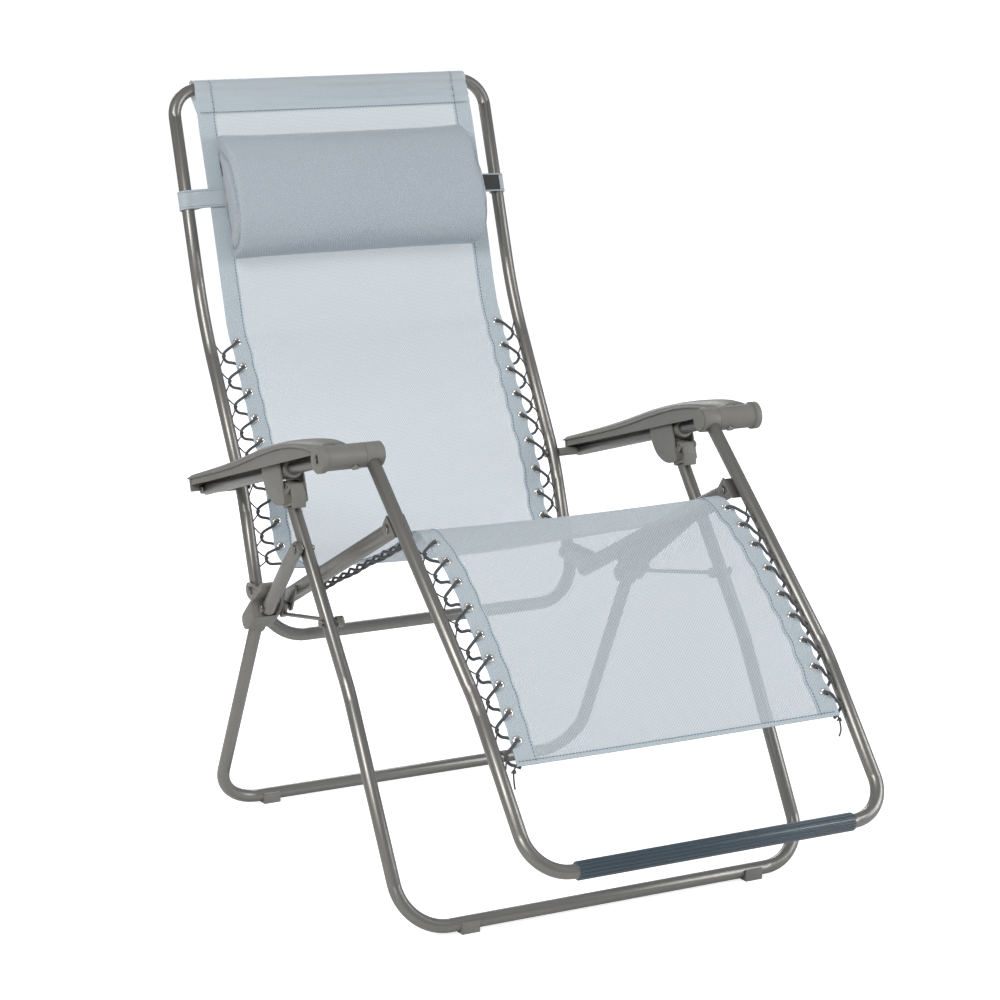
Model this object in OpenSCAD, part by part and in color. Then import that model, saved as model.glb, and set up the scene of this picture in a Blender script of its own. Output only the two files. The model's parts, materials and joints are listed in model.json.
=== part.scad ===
// Zero gravity recliner: laced mesh sling on hinged tube frames, with sliding armrests.
// Millimetres, +Z up, +X to the right of a person who faces the chair, the back leans to +Y.

/* [Tubes] */
// Outer diameter of the bent frame tubes
tube_d = 20; // [18:0.5:22]
// Wall thickness of the frame tubes
tube_wall = 1.2; // [1:0.1:2]
// Diameter of the straight tube inside each armrest
arm_tube_d = 18; // [16:0.5:19]

/* [Widths] */
// Half of the distance between the front legs
front_leg_x = 333; // [330:1:336]
// Half of the distance between the rear legs
rear_leg_x = 327; // [325:1:329]
// Half of the distance between the side tubes of the back
back_x = 278; // [276:1:280]
// Half of the distance between the side tubes of the leg rest
leg_rest_x = 283; // [281:1:285]
// Half width of the sling fabric
sling_half = 246; // [236:1:250]
// Half width of the sleeve at the top of the sling
sleeve_half = 231; // [200:1:231]

/* [Details] */
// Eyelets on each side of the back and of the leg rest
eyelets = 9; // [5:1:9]
// Half width of the head pillow
pillow_half = 220; // [180:1:226]
// Half length of the ribbed sleeve on the foot bar
foot_sleeve_half = 219; // [150:1:219]
// Radius of the rivets and pivot bolts
pin_r = 4; // [3:0.5:5]

/* [Hidden] */
$fn = 32;

// The origin lies under the middle of the whole object's box.
origin_y = 323.5;
tube_r = tube_d / 2;
arm_tube_r = arm_tube_d / 2;
running_fit = 0.05;
socket_fit = 0.03;
left = -1;
right = 1;

// Colours
frame_colour = [0.55, 0.53, 0.49];
plastic_colour = [0.49, 0.48, 0.45];
fabric_colour = [0.80, 0.85, 0.89];
pillow_colour = [0.69, 0.74, 0.78];
rubber_colour = [0.31, 0.37, 0.41];
cord_colour = [0.28, 0.28, 0.30];
steel_colour = [0.80, 0.79, 0.75];

// Joint axes and fixed places, all as [y, z] in the side view
stand_pivot = [472, 376];
back_hinge = [622, 366];
leg_hinge = [140, 558];
arm_front = [208, 652];
arm_hinge = [677, 521];
link_top = [314, 500];
tie_front = [243, 405];
arm_length = norm(arm_hinge - arm_front);
arm_tilt = atan2(arm_hinge[1] - arm_front[1], arm_hinge[0] - arm_front[0]);
// Distance along the arm tube from its front axis to the leg top's axis
carriage_s = 177;

// Side view of each frame, from its free or upper end to its crossbar
foot_t = 2.5;
bar_z = tube_r + foot_t;
front_leg_side = [[368, 564.4], [180, 320], [5, bar_z]];
rear_leg_side = [[505, 360], [684, bar_z]];
back_side = [[927, 1116], [815, 765], [673, 518], [597, 292]];
leg_rest_side = [[200, 645], [-111, 368], [-274, 170]];
corner_r = 70;
foot_corner_r = 60;
top_corner_r = 45;

// ---------- general shapes ----------

// Rotates the +Z axis onto the given direction
module aim(direction) {
    rotate([0, acos(direction[2] / norm(direction)), atan2(direction[1], direction[0])]) children();
}

// Solid round rod between two points
module rod(from, to, r) {
    translate(from) aim(to - from) cylinder(h = norm(to - from), r = r);
}

// Cylinder along X between two widths, centred on a [y, z] place
module cross_rod(place, x_from, x_to, r) {
    translate([min(x_from, x_to), place[0], place[1]]) rotate([0, 90, 0])
        cylinder(h = abs(x_to - x_from), r = r);
}

// Plate normal to X between two widths, from a 2-D outline in [y, z]
module side_plate(x_from, x_to) {
    translate([min(x_from, x_to), 0, 0]) rotate([90, 0, 90])
        linear_extrude(height = abs(x_to - x_from)) children();
}

// Unit vector
function unit(v) = v / norm(v);
// Length that a bend of radius r takes from each side of corner b
function bend_cut(a, b, c, r) = r * tan(acos(unit(b - a) * unit(c - b)) / 2);

// Hollow tube through a list of points, with one bend radius for each inner point
module bent_tube(points, radii) {
    difference() {
        bent_rod(points, radii, tube_r);
        bent_rod(points, radii, tube_r - tube_wall);
    }
}

// Solid rod through a list of points. Each straight runs a little way into the bends beside it,
// and the bends are a hair thinner, so that the pieces meet cleanly.
module bent_rod(points, radii, r) {
    lap = 0.5;
    hair = 0.02;
    last = len(points) - 1;
    cuts = [for (i = [0:last]) i == 0 || i == last ? 0
        : bend_cut(points[i - 1], points[i], points[i + 1], radii[i - 1]) - lap];
    for (i = [0:last - 1]) {
        along = unit(points[i + 1] - points[i]);
        rod(points[i] + along * cuts[i], points[i + 1] - along * cuts[i + 1], r);
    }
    for (i = [1:last - 1])
        bend(points[i - 1], points[i], points[i + 1], radii[i - 1], r - hair);
}

// Solid bend at corner b
module bend(a, b, c, bend_r, r) {
    d1 = unit(b - a);
    d2 = unit(c - b);
    turn = acos(d1 * d2);
    start = b - d1 * bend_cut(a, b, c, bend_r);
    inward = unit(d2 - d1 * (d1 * d2));
    centre = start + inward * bend_r;
    n = cross(-inward, d1);
    multmatrix([[-inward[0], d1[0], n[0], centre[0]],
                [-inward[1], d1[1], n[1], centre[1]],
                [-inward[2], d1[2], n[2], centre[2]],
                [0, 0, 0, 1]])
        rotate_extrude(angle = turn) translate([bend_r, 0]) circle(r = r);
}

// Both sides of a U frame and the crossbar between their last points
function u_path(side, x) = concat(
    [for (p = side) [-x, p[0], p[1]]],
    [for (i = [len(side) - 1:-1:0]) [x, side[i][0], side[i][1]]]);

// Draws the children on the chosen side of the chair; they are modelled on the left
module on_side(side) {
    mirror([side == right ? 1 : 0, 0, 0]) children();
}

// Moves the model so that its origin is under the middle of its box
module placed(colour) {
    translate([0, -origin_y, 0]) color(colour) children();
}

// Puts the children in the arm's own directions: +Y along the tube to the rear, +Z square to it
module in_arm() {
    translate([0, arm_front[0], arm_front[1]]) rotate([arm_tilt, 0, 0]) children();
}

// Bore that takes the end of a frame tube: it starts at the tube's end and runs along it
module tube_bore(x, tube_end, along) {
    from = tube_end - along * 0.1;
    to = tube_end + along * 60;
    rod([x, from[0], from[1]], [x, to[0], to[1]], tube_r + socket_fit);
}

// ---------- front stand ----------

module front_leg_frame() {
    placed(frame_colour) difference() {
        bent_tube(u_path(front_leg_side, front_leg_x), [250, corner_r, corner_r, 250]);
        for (s = [left, right]) {
            cross_rod(link_top, s * 300, s * 360, pin_r);
            cross_rod(tie_front, s * 300, s * 360, pin_r);
        }
    }
}

// Clip-on foot: a block with a round seat under a floor bar
module clip_foot(x, y) {
    width = 28;
    translate([x - width / 2, y, 0]) difference() {
        translate([0, -13, 0]) cube([width, 26, 17]);
        translate([-1, 0, bar_z]) rotate([0, 90, 0]) cylinder(h = width + 2, r = tube_r);
        translate([-1, -9, bar_z]) cube([width + 2, 18, 20]);
    }
}

foot_x = 236;

module front_feet() {
    placed(plastic_colour) for (s = [left, right])
        clip_foot(s * foot_x, front_leg_side[2][0]);
}

// The leg's direction in the side view, pointing up
leg_up = unit(front_leg_side[0] - front_leg_side[1]);
leg_top_axis = arm_front + carriage_s * [cos(arm_tilt), sin(arm_tilt)];
cheek_inner = 16.5;
cheek_outer = 19;
cheek_r = 51;
socket_r = 14.5;

// Lever's axis beside the front of the socket, along and square to the arm from the leg's top axis
lever_axis = [-23, -26.5];
lever_half = 11;
lever_pin_r = 2.5;
// How far the arm turns on the leg while the chair reclines
arm_turn = 24.7;
sleeve_gap = 14.5;

// Plastic head of a front leg: a socket for the tube, two quarter discs beside the arm tube and
// two ears for the lever
module leg_socket(side) {
    tube_end = front_leg_side[0];
    square_to_arm = [-sin(arm_tilt), cos(arm_tilt)];
    bottom = tube_end - leg_up * 14;
    top = leg_top_axis - square_to_arm * 13;
    placed(plastic_colour) on_side(side) difference() {
        union() {
            difference() {
                rod([-front_leg_x, bottom[0], bottom[1]], [-front_leg_x, top[0], top[1]], socket_r);
                side_plate(-front_leg_x - 20, -front_leg_x + 20) sleeve_room();
            }
            for (x = [-front_leg_x - cheek_outer, -front_leg_x + cheek_inner])
                side_plate(x, x + cheek_outer - cheek_inner) cheek_outline();
            // The filled lower corner that ties the two discs to the socket
            side_plate(-front_leg_x - cheek_inner, -front_leg_x + cheek_inner) difference() {
                cheek_outline();
                translate(leg_top_axis) circle(r = 33);
                translate(leg_top_axis) rotate(arm_tilt) translate([0, -28]) square([90, 60]);
            }
            for (x = [-arm_x - lever_half - 3, -arm_x + lever_half])
                side_plate(x, x + 3) translate(leg_top_axis) rotate(arm_tilt) hull() {
                    translate(lever_axis) circle(r = 5.5);
                    translate([-8, -36]) circle(r = 6);
                }
        }
        tube_bore(-front_leg_x, tube_end, -leg_up);
        lever_bore(lever_pin_r);
    }
}

// The space above the socket that the sliding sleeve sweeps as the arm turns
module sleeve_room() {
    far = 60;
    rise = sleeve_gap / cos(arm_turn);
    translate(leg_top_axis) rotate(arm_tilt)
        polygon([[-far, -rise - far * tan(arm_turn)], [0, -rise], [far, -rise], [far, far], [-far, far]]);
}

module lever_bore(r) {
    translate([-arm_x - 20, leg_top_axis[0], leg_top_axis[1]]) rotate([arm_tilt, 0, 0])
        translate([0, lever_axis[0], lever_axis[1]]) rotate([0, 90, 0]) cylinder(h = 40, r = r);
}

// Quarter disc behind and below the leg top's axis, with a flat upper edge along the arm
module cheek_outline() {
    translate(leg_top_axis) rotate(arm_tilt) intersection() {
        circle(r = cheek_r);
        polygon([[-14, 9], [60, 9], [60, -60], [-18, -60]]);
    }
}

link_top_x = 349;
link_low_x = 325;
link_r = 11;

// Stay tube between the front leg and the stand's main pivot, with a flattened upper end
module link_bar(side) {
    along = unit(stand_pivot - link_top);
    neck = link_top + along * 26;
    placed(frame_colour) on_side(side) difference() {
        union() {
            rod([-link_top_x, neck[0], neck[1]], [-link_low_x, stand_pivot[0], stand_pivot[1]], link_r);
            cross_rod(stand_pivot, -link_low_x - 9.5, -link_low_x + 9.5, link_r + 0.6);
            side_plate(-link_top_x - 5, -link_top_x + 5) hull() {
                translate(link_top) circle(r = 12);
                translate(neck + along * 4) circle(r = 11);
            }
        }
        cross_rod(link_top, -400, -300, pin_r);
        cross_rod(stand_pivot, -400, -280, pin_r);
    }
}

tie_low_x = 301;
tie_front_x = 318;
tie_rod_r = 3;
tie_eye_t = 3.8;

// Thin rod that holds the front leg and the main pivot apart, with an eye at each end
module tie_rod(side) {
    low = stand_pivot + [2, -13];
    placed(frame_colour) on_side(side) difference() {
        union() {
            rod([-tie_low_x, low[0], low[1]], [-tie_front_x, tie_front[0], tie_front[1]], tie_rod_r);
            side_plate(-tie_low_x - tie_eye_t, -tie_low_x + tie_eye_t) hull() {
                translate(stand_pivot) circle(r = 8);
                translate(low) circle(r = 5);
            }
            cross_rod(tie_front, -tie_front_x - tie_eye_t, -tie_front_x + tie_eye_t, 8);
        }
        cross_rod(stand_pivot, -400, -280, pin_r);
        cross_rod(tie_front, -400, -280, pin_r);
    }
}

// Bolts that join the link bars and tie rods to the front legs
module stand_bolts() {
    tie_inner = tie_front_x - tie_eye_t;
    placed(steel_colour) for (s = [left, right]) {
        cross_rod(link_top, s * 322, s * (link_top_x + 5), pin_r);
        cross_rod(link_top, s * (link_top_x + 5), s * (link_top_x + 7.5), 7);
        cross_rod(tie_front, s * tie_inner, s * 346, pin_r);
        cross_rod(tie_front, s * tie_inner, s * (tie_inner - 3), 8);
        cross_rod(tie_front, s * 346, s * 348, 6);
    }
}

pin_inner = 288.8;
pin_outer = 338;

// Main pins of the stand: they carry the seat, the tie rod, the link bar and the rear leg
module pivot_pins() {
    placed(steel_colour) for (s = [left, right]) {
        cross_rod(stand_pivot, s * pin_inner, s * pin_outer, pin_r);
        cross_rod(stand_pivot, s * pin_outer, s * (pin_outer + 2), 7);
    }
}

// ---------- rear stand ----------

module rear_leg_frame() {
    placed(frame_colour)
        bent_tube(u_path(rear_leg_side, rear_leg_x), [corner_r, corner_r]);
}

module rear_feet() {
    placed(plastic_colour) for (s = [left, right])
        clip_foot(s * foot_x, rear_leg_side[1][0]);
}

cup_inner = 306;
cup_outer = 347;
cup_wall = 5;
cup_gap = 15.5;
cup_reach = 42;

// Plastic bracket on a rear leg: a socket for the tube and a cup behind the link bar's lower end
module rear_bracket(side) {
    tube_end = rear_leg_side[0];
    down = unit(rear_leg_side[1] - rear_leg_side[0]);
    foot = tube_end + down * 26;
    placed(plastic_colour) on_side(side) difference() {
        union() {
            rod([-rear_leg_x, foot[0], foot[1]], [-rear_leg_x, tube_end[0], tube_end[1]], 14);
            side_plate(-cup_outer, -cup_inner - cup_wall) difference() {
                cup_outline(tube_end + down * 12);
                translate(stand_pivot) circle(r = cup_gap);
                link_channel();
            }
            side_plate(-cup_inner - cup_wall, -cup_inner) cup_outline(tube_end + down * 12);
        }
        cross_rod(stand_pivot, -400, -280, pin_r + running_fit);
        tube_bore(-rear_leg_x, tube_end, down);
    }
}

// Side outline of the bracket: behind the main pin, down to the socket and up behind the link bar
module cup_outline(collar) {
    hull() {
        translate(stand_pivot) circle(r = 8);
        translate(collar) circle(r = 13);
        translate(stand_pivot + [17, 4]) circle(r = 4);
        translate(stand_pivot) rotate(link_angle) translate([cup_reach, -19]) circle(r = 3.5);
    }
}

link_angle = atan2(link_top[1] - stand_pivot[1], link_top[0] - stand_pivot[0]);

// The space that the link bar takes while the rear legs fold forward
module link_channel() {
    far = 90;
    translate(stand_pivot) {
        rotate(link_angle) translate([0, -cup_gap + 2]) square([far, far]);
        polygon([[0, 0], far * [cos(link_angle), sin(link_angle)], far * [cos(195), sin(195)],
            far * [cos(252), sin(252)]]);
    }
}

// ---------- seat ----------

seat_half_w = 10.6;
seat_depth = 25;
seat_rear = [574, 347];
// The seat tube's front end stands this far past the leg rest's hinge
seat_overhang = 5;
seat_front = leg_hinge + unit(leg_hinge - seat_rear) * seat_overhang;
plate_t = 3;

// Oval seat tube: a flat-sided tube with its long side upright
module seat_tube(side) {
    along = seat_rear - seat_front;
    placed(frame_colour) on_side(side) difference() {
        translate([-back_x, seat_front[0], seat_front[1]]) rotate([atan2(along[1], along[0]) - 90, 0, 0])
            difference() {
                linear_extrude(height = norm(along)) seat_section(0);
                translate([0, 0, -1]) linear_extrude(height = norm(along) + 2)
                    seat_section(tube_wall);
            }
        cross_rod(leg_hinge, -400, -200, pin_r + running_fit);
    }
}

// Section of the seat tube, square to it: round above and below, flat at the sides
module seat_section(inset) {
    w = seat_half_w - inset;
    reach = seat_depth / 2 - seat_half_w;
    for (y = [-reach, reach]) translate([0, y]) circle(r = w);
    square([2 * w, 2 * reach], center = true);
}

// Lugs under the seat tubes that turn on the main pins
module seat_lugs() {
    on_tube = seat_front + (seat_rear - seat_front) * 0.76;
    placed(frame_colour) for (s = [left, right]) on_side(s) difference() {
        side_plate(-back_x - seat_half_w - plate_t, -back_x - seat_half_w) hull() {
            translate(stand_pivot) circle(r = 9);
            translate(on_tube + [-14, 6]) circle(r = 6);
            translate(on_tube + [14, -6]) circle(r = 6);
        }
        cross_rod(stand_pivot, -400, -200, pin_r + running_fit);
    }
}

// Two plates at the rear of a seat tube that hold the back tube between them. The inner one is
// slimmer, to clear the bend of the back tube.
module rear_gussets(side) {
    placed(frame_colour) on_side(side) difference() {
        union() {
            side_plate(-back_x - seat_half_w - plate_t, -back_x - seat_half_w) rear_plate(13, [-6, 4], 10);
            side_plate(-back_x + seat_half_w, -back_x + seat_half_w + plate_t) rear_plate(9, [-8, 8], 6);
        }
        cross_rod(back_hinge, -400, -200, pin_r);
    }
}

module rear_plate(hinge_r, shift, tube_end_r) {
    hull() {
        translate(back_hinge) circle(r = hinge_r);
        translate(seat_rear + shift) circle(r = tube_end_r);
        translate(seat_rear + [-44, 20]) circle(r = 8);
    }
}

module rear_hinge_rivets() {
    placed(steel_colour) for (s = [left, right]) {
        cross_rod(back_hinge, s * (back_x - seat_half_w - plate_t),
            s * (back_x + seat_half_w + plate_t), pin_r);
        cross_rod(back_hinge, s * (back_x + seat_half_w + plate_t),
            s * (back_x + seat_half_w + plate_t + 2), 7);
        cross_rod(back_hinge, s * (back_x - seat_half_w - plate_t),
            s * (back_x - seat_half_w - plate_t - 2), 7);
    }
}

// ---------- sling ----------

fabric_t = 1.6;

// Point of a polyline at parameter t, counted in segments
function along_points(points, t) =
    let (i = min(floor(t), len(points) - 2), f = t - i) points[i] * (1 - f) + points[i + 1] * f;

// Direction of a polyline at point i, averaged over its neighbours
function heading(points, i) =
    unit(points[min(i + 1, len(points) - 1)] - points[max(i - 1, 0)]);

// Thin band on both sides of a polyline
function band(points, t) =
    let (n = len(points), side = [for (i = [0:n - 1]) [-heading(points, i)[1], heading(points, i)[0]]])
    concat([for (i = [0:n - 1]) points[i] + side[i] * t / 2],
           [for (i = [n - 1:-1:0]) points[i] - side[i] * t / 2]);

module sling_piece(points, half) {
    side_plate(-half, half) polygon(band(points, fabric_t));
}

sling_seat = [[602, 410], [565, 404], [510, 413], [450, 427], [380, 446], [300, 470],
    [220, 503], [160, 535], [126, 551]];
sling_front = [[104, 546], [80, 534], [40, 512], [0, 482], [-60, 428], [-105, 385],
    [-140, 343], [-185, 288]];
// The fabric of the back runs this far in front of the tubes' centres
back_offset = 9;
sling_top = back_side[0] + [-back_offset * 1.35, -10];
sling_back = [sling_top, [866, 960], [815 - back_offset, 765], [786 - back_offset, 714],
    [673 - back_offset, 518], [655 - back_offset, 465], [638 - back_offset, 420]];

module seat_sling() {
    placed(fabric_colour) sling_piece(sling_seat, sling_half);
}

module leg_sling() {
    placed(fabric_colour) sling_piece(sling_front, sling_half);
}

// Back panel, with a sleeve round the top bar
module back_sling() {
    bar = back_side[0];
    sleeve_r = tube_r + 2;
    lower = along_points(sling_back, 0.35);
    sleeve = concat([for (i = [0:6]) lower + (sling_back[0] - lower) * i / 6],
        [for (a = [190:-20:10]) bar + sleeve_r * [cos(a), sin(a)]],
        [bar + [9, -10], bar + [-2, -38]]);
    placed(fabric_colour) {
        sling_piece(concat([lower], [for (i = [1:len(sling_back) - 1]) sling_back[i]]), sling_half);
        sling_piece(sleeve, sleeve_half);
    }
}

// ---------- eyelets and lacing ----------

eyelet_x = 233;
crossing_x = 258;
lace_r = 2.1;
back_eyelet_start = [780, 733];
back_eyelet_turn = [672, 512];
back_eyelet_end = [637, 422];
leg_eyelet_start = [92, 541];
leg_eyelet_turn = [-60, 422];
leg_eyelet_end = [-158, 318];

// Place of the i-th of n points spread evenly over a line with one turn in it
function on_turned_line(a, b, c, i, n) =
    let (total = norm(b - a) + norm(c - b), d = total * i / (n - 1))
    d <= norm(b - a) ? a + unit(b - a) * d : b + unit(c - b) * (d - norm(b - a));
function back_eyelet(i) =
    on_turned_line(back_eyelet_start, back_eyelet_turn, back_eyelet_end, i, eyelets);
function leg_eyelet(i) =
    on_turned_line(leg_eyelet_start, leg_eyelet_turn, leg_eyelet_end, i, eyelets);

// Metal ring on both faces of the fabric
module eyelet_ring(place, normal, x) {
    depth = 2.6;
    centre = [x, place[0], place[1]];
    translate(centre) aim([0, normal[0], normal[1]]) translate([0, 0, -depth / 2]) difference() {
        cylinder(h = depth, r = 7);
        translate([0, 0, -1]) cylinder(h = depth + 2, r = 3.2);
    }
}

module back_eyelets() {
    placed(steel_colour) for (s = [left, right], i = [0:eyelets - 1]) {
        run = back_eyelet(min(i + 1, eyelets - 1)) - back_eyelet(max(i - 1, 0));
        eyelet_ring(back_eyelet(i), [run[1], -run[0]], s * eyelet_x);
    }
}

module leg_eyelets() {
    placed(steel_colour) for (s = [left, right], i = [0:eyelets - 1]) {
        run = leg_eyelet(min(i + 1, eyelets - 1)) - leg_eyelet(max(i - 1, 0));
        eyelet_ring(leg_eyelet(i), [run[1], -run[0]], s * eyelet_x);
    }
}

// Elastic cord: one closed tube that swings between the eyelets and the frame's side
module lacing(places) {
    per_gap = 8;
    sides = 8;
    rings = (len(places) - 1) * per_gap;
    route = [for (i = [0:rings]) let (t = i / per_gap, p = along_points(places, t))
        [-eyelet_x - (crossing_x - eyelet_x) * (1 - cos(360 * t)) / 2, p[0], p[1]]];
    points = [for (i = [0:rings]) let (
            d = unit(route[min(i + 1, rings)] - route[max(i - 1, 0)]),
            u = unit(cross(d, [1, 0.3, 0])), v = cross(d, u))
        for (k = [0:sides - 1])
            route[i] + lace_r * (u * cos(360 * k / sides) + v * sin(360 * k / sides))];
    walls = [for (i = [0:rings - 1], k = [0:sides - 1]) let (j = (k + 1) % sides)
        [i * sides + k, i * sides + j, (i + 1) * sides + j, (i + 1) * sides + k]];
    polyhedron(points, concat([[for (k = [sides - 1:-1:0]) k]], walls,
        [[for (k = [0:sides - 1]) rings * sides + k]]), convexity = 10);
}

module back_lacing(side) {
    placed(cord_colour) on_side(side) lacing([for (i = [0:eyelets - 1]) back_eyelet(i)]);
}

module leg_lacing(side) {
    placed(cord_colour) on_side(side) lacing([for (i = [0:eyelets - 1]) leg_eyelet(i)]);
}

// Elastic that hangs below the inner side of a seat tube, from the leg rest to the back
module seat_elastic(side) {
    from = leg_hinge + [-3, -23];
    to = [430, 408];
    placed(cord_colour) on_side(side) for (dz = [-3, 3])
        rod([-259, from[0], from[1] + dz], [-259, to[0], to[1] + dz], 2.2);
}

// ---------- back ----------

// Closed loop of tube that starts and ends in the middle of the top bar
module back_frame() {
    middle = [[0, back_side[0][0], back_side[0][1]]];
    loop = concat(middle, u_path(back_side, back_x), middle);
    placed(frame_colour) difference() {
        bent_tube(loop, [top_corner_r, 600, 400, corner_r, corner_r, 400, 600, top_corner_r]);
        for (s = [left, right]) {
            cross_rod(back_hinge, s * 250, s * 300, pin_r + running_fit);
            cross_rod(arm_hinge, s * 250, s * 300, pin_r);
        }
    }
}

pillow_top = [890, 1041];
pillow_low = [832, 855];

// D-shaped bolster that lies against the front of the back fabric
module head_pillow() {
    up = unit(pillow_top - pillow_low);
    out = [-up[1], up[0]];
    depth = 62;
    tall = norm(pillow_top - pillow_low);
    placed(pillow_colour) side_plate(-pillow_half, pillow_half)
        polygon(concat([pillow_low, pillow_top],
            [for (a = [80:-10:-80]) (pillow_low + pillow_top) / 2
                + up * (tall / 2) * sin(a) * 0.98 + out * (6 + (depth - 6) * pow(cos(a), 0.7))]));
}

strap_place = [873, 945];

// Flat strap from the end of the pillow round the side tube
module pillow_strap(side) {
    half_tall = 13;
    up = unit(back_side[0] - back_side[1]);
    ring = tube_r + 0.6;
    placed(pillow_colour) on_side(side)
        translate([-back_x, strap_place[0], strap_place[1]]) rotate([-atan2(up[0], up[1]), 0, 0])
            translate([0, 0, -half_tall]) {
                difference() {
                    cylinder(h = 2 * half_tall, r = ring + 1.4);
                    translate([0, 0, -1]) cylinder(h = 2 * half_tall + 2, r = ring);
                }
                translate([ring + 0.6, -14.6, 0]) cube([46, 1.4, 2 * half_tall]);
                translate([ring - 1, -14.6, 0]) cube([2.4, 9.2, 2 * half_tall]);
            }
}

arm_x = 333;

// Bolts that carry the rear ends of the arm tubes on the back tubes
module arm_pivot_bolts() {
    placed(steel_colour) for (s = [left, right]) {
        cross_rod(arm_hinge, s * (back_x - tube_r - 1), s * (arm_x + 10), pin_r);
        cross_rod(arm_hinge, s * (arm_x + 10), s * (arm_x + 13), 7);
        cross_rod(arm_hinge, s * (back_x - tube_r - 1), s * (back_x - tube_r - 4), 7);
    }
}

module arm_spacers() {
    placed(plastic_colour) for (s = [left, right]) difference() {
        cross_rod(arm_hinge, s * (back_x + tube_r), s * (arm_x - arm_tube_r - 0.4), 7);
        cross_rod(arm_hinge, s * 250, s * 350, pin_r);
    }
}

// ---------- leg rest ----------

module leg_rest_frame() {
    placed(frame_colour)
        bent_tube(u_path(leg_rest_side, leg_rest_x), [300, foot_corner_r, foot_corner_r, 300]);
}

// Ribbed rubber sleeve on the foot bar
module foot_sleeve() {
    ribs = 16;
    outer = tube_r + 3;
    placed(rubber_colour) translate([-foot_sleeve_half, leg_rest_side[2][0], leg_rest_side[2][1]])
        rotate([0, 90, 0]) difference() {
            cylinder(h = 2 * foot_sleeve_half, r = outer);
            translate([0, 0, -1]) cylinder(h = 2 * foot_sleeve_half + 2, r = tube_r);
            for (i = [0:ribs - 1]) rotate(i * 360 / ribs) translate([outer, 0, -1])
                cylinder(h = 2 * foot_sleeve_half + 2, r = 1.2);
        }
}

gusset_inner = back_x - seat_half_w - 0.4;
gusset_outer = back_x + seat_half_w + 0.4;

// Folded bracket behind a leg-rest tube: two triangular ears and a thin web against the tube
module front_gussets(side) {
    along = unit(leg_rest_side[0] - leg_rest_side[1]);
    on_tube = leg_rest_side[1] + along * (along * (leg_hinge - leg_rest_side[1]));
    near = tube_r + 0.02;
    web_t = 1.2;
    below = 26;
    above = 10;
    placed(frame_colour) on_side(side) difference() {
        union() {
            for (x = [-gusset_outer - plate_t, -gusset_inner])
                side_plate(x, x + plate_t) difference() {
                    hull() {
                        translate(leg_hinge) circle(r = 11);
                        translate(on_tube + along * above) circle(r = 3);
                        translate(on_tube - along * below) circle(r = 3);
                    }
                    translate(on_tube) rotate(atan2(along[1], along[0])) translate([-100, -near])
                        square([200, 100]);
                }
            side_plate(-gusset_outer - plate_t, -gusset_inner + plate_t) translate(on_tube)
                rotate(atan2(along[1], along[0])) translate([-below, -near - web_t])
                    square([below + above, web_t]);
        }
        cross_rod(leg_hinge, -400, -200, pin_r);
    }
}

module front_hinge_rivets() {
    inner = gusset_inner - plate_t;
    outer = gusset_outer + plate_t;
    placed(steel_colour) for (s = [left, right]) {
        cross_rod(leg_hinge, s * inner, s * outer, pin_r);
        cross_rod(leg_hinge, s * outer, s * (outer + 2), 7);
        cross_rod(leg_hinge, s * inner, s * (inner - 2), 7);
    }
}

cap_outer = 294;

// Plastic cap on the upper end of a leg-rest tube
module frame_cap(side) {
    tube_end = leg_rest_side[0];
    along = unit(leg_rest_side[0] - leg_rest_side[1]);
    placed(plastic_colour) on_side(side) difference() {
        union() {
            cross_rod(arm_front, -cap_outer, -267, 18);
            cross_rod(arm_front, -267, -264.5, 15);
        }
        tube_bore(-leg_rest_x, tube_end, -along);
    }
}

// ---------- arms ----------

housing_inner = 294.5;
housing_r = 18;

module arm_tube(side) {
    placed(frame_colour) on_side(side) in_arm() difference() {
        translate([-arm_x, 6, 0]) rotate([-90, 0, 0]) difference() {
            cylinder(h = arm_length + 2, r = arm_tube_r);
            translate([0, 0, -1]) cylinder(h = arm_length + 4, r = arm_tube_r - tube_wall);
        }
        translate([-400, arm_length, 0]) rotate([0, 90, 0]) cylinder(h = 100, r = pin_r + running_fit);
    }
}

// Plastic head on the front of the arm tube, round about the same axis as the frame cap
module arm_housing(side) {
    placed(plastic_colour) on_side(side) in_arm() difference() {
        union() {
            rotate([0, -90, 0]) translate([0, 0, housing_inner]) cylinder(h = 61.5, r = housing_r);
            rotate([0, -90, 0]) translate([0, 0, 356]) cylinder(h = 9, r = 20.5);
        }
        translate([-arm_x, 6, 0]) rotate([-90, 0, 0]) cylinder(h = 60, r = arm_tube_r);
        translate([-312, -9, -housing_r - 6]) cylinder(h = 12, r = 3);
        translate([-366, -4, -7]) cube([3, 8, 14]);
    }
}

module housing_screws() {
    placed(steel_colour) for (s = [left, right]) on_side(s) in_arm()
        translate([-312, -9, -housing_r + 1]) cylinder(h = 5, r = 3);
}

pad_x = 334;
pad_half = 27;
pad_rear = 508;
// Outer skin of the pad in the arm's side view: [distance along the arm, height]
pad_crown = [[6, 23], [30, 29.5], [70, 34.5], [120, 38.3], [170, 39.8], [220, 39], [270, 35.5],
    [320, 32], [380, 29.3], [440, 27.5], [pad_rear, 25.5]];
pad_edge_h = 8.5;
pad_wall = 3;

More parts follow.
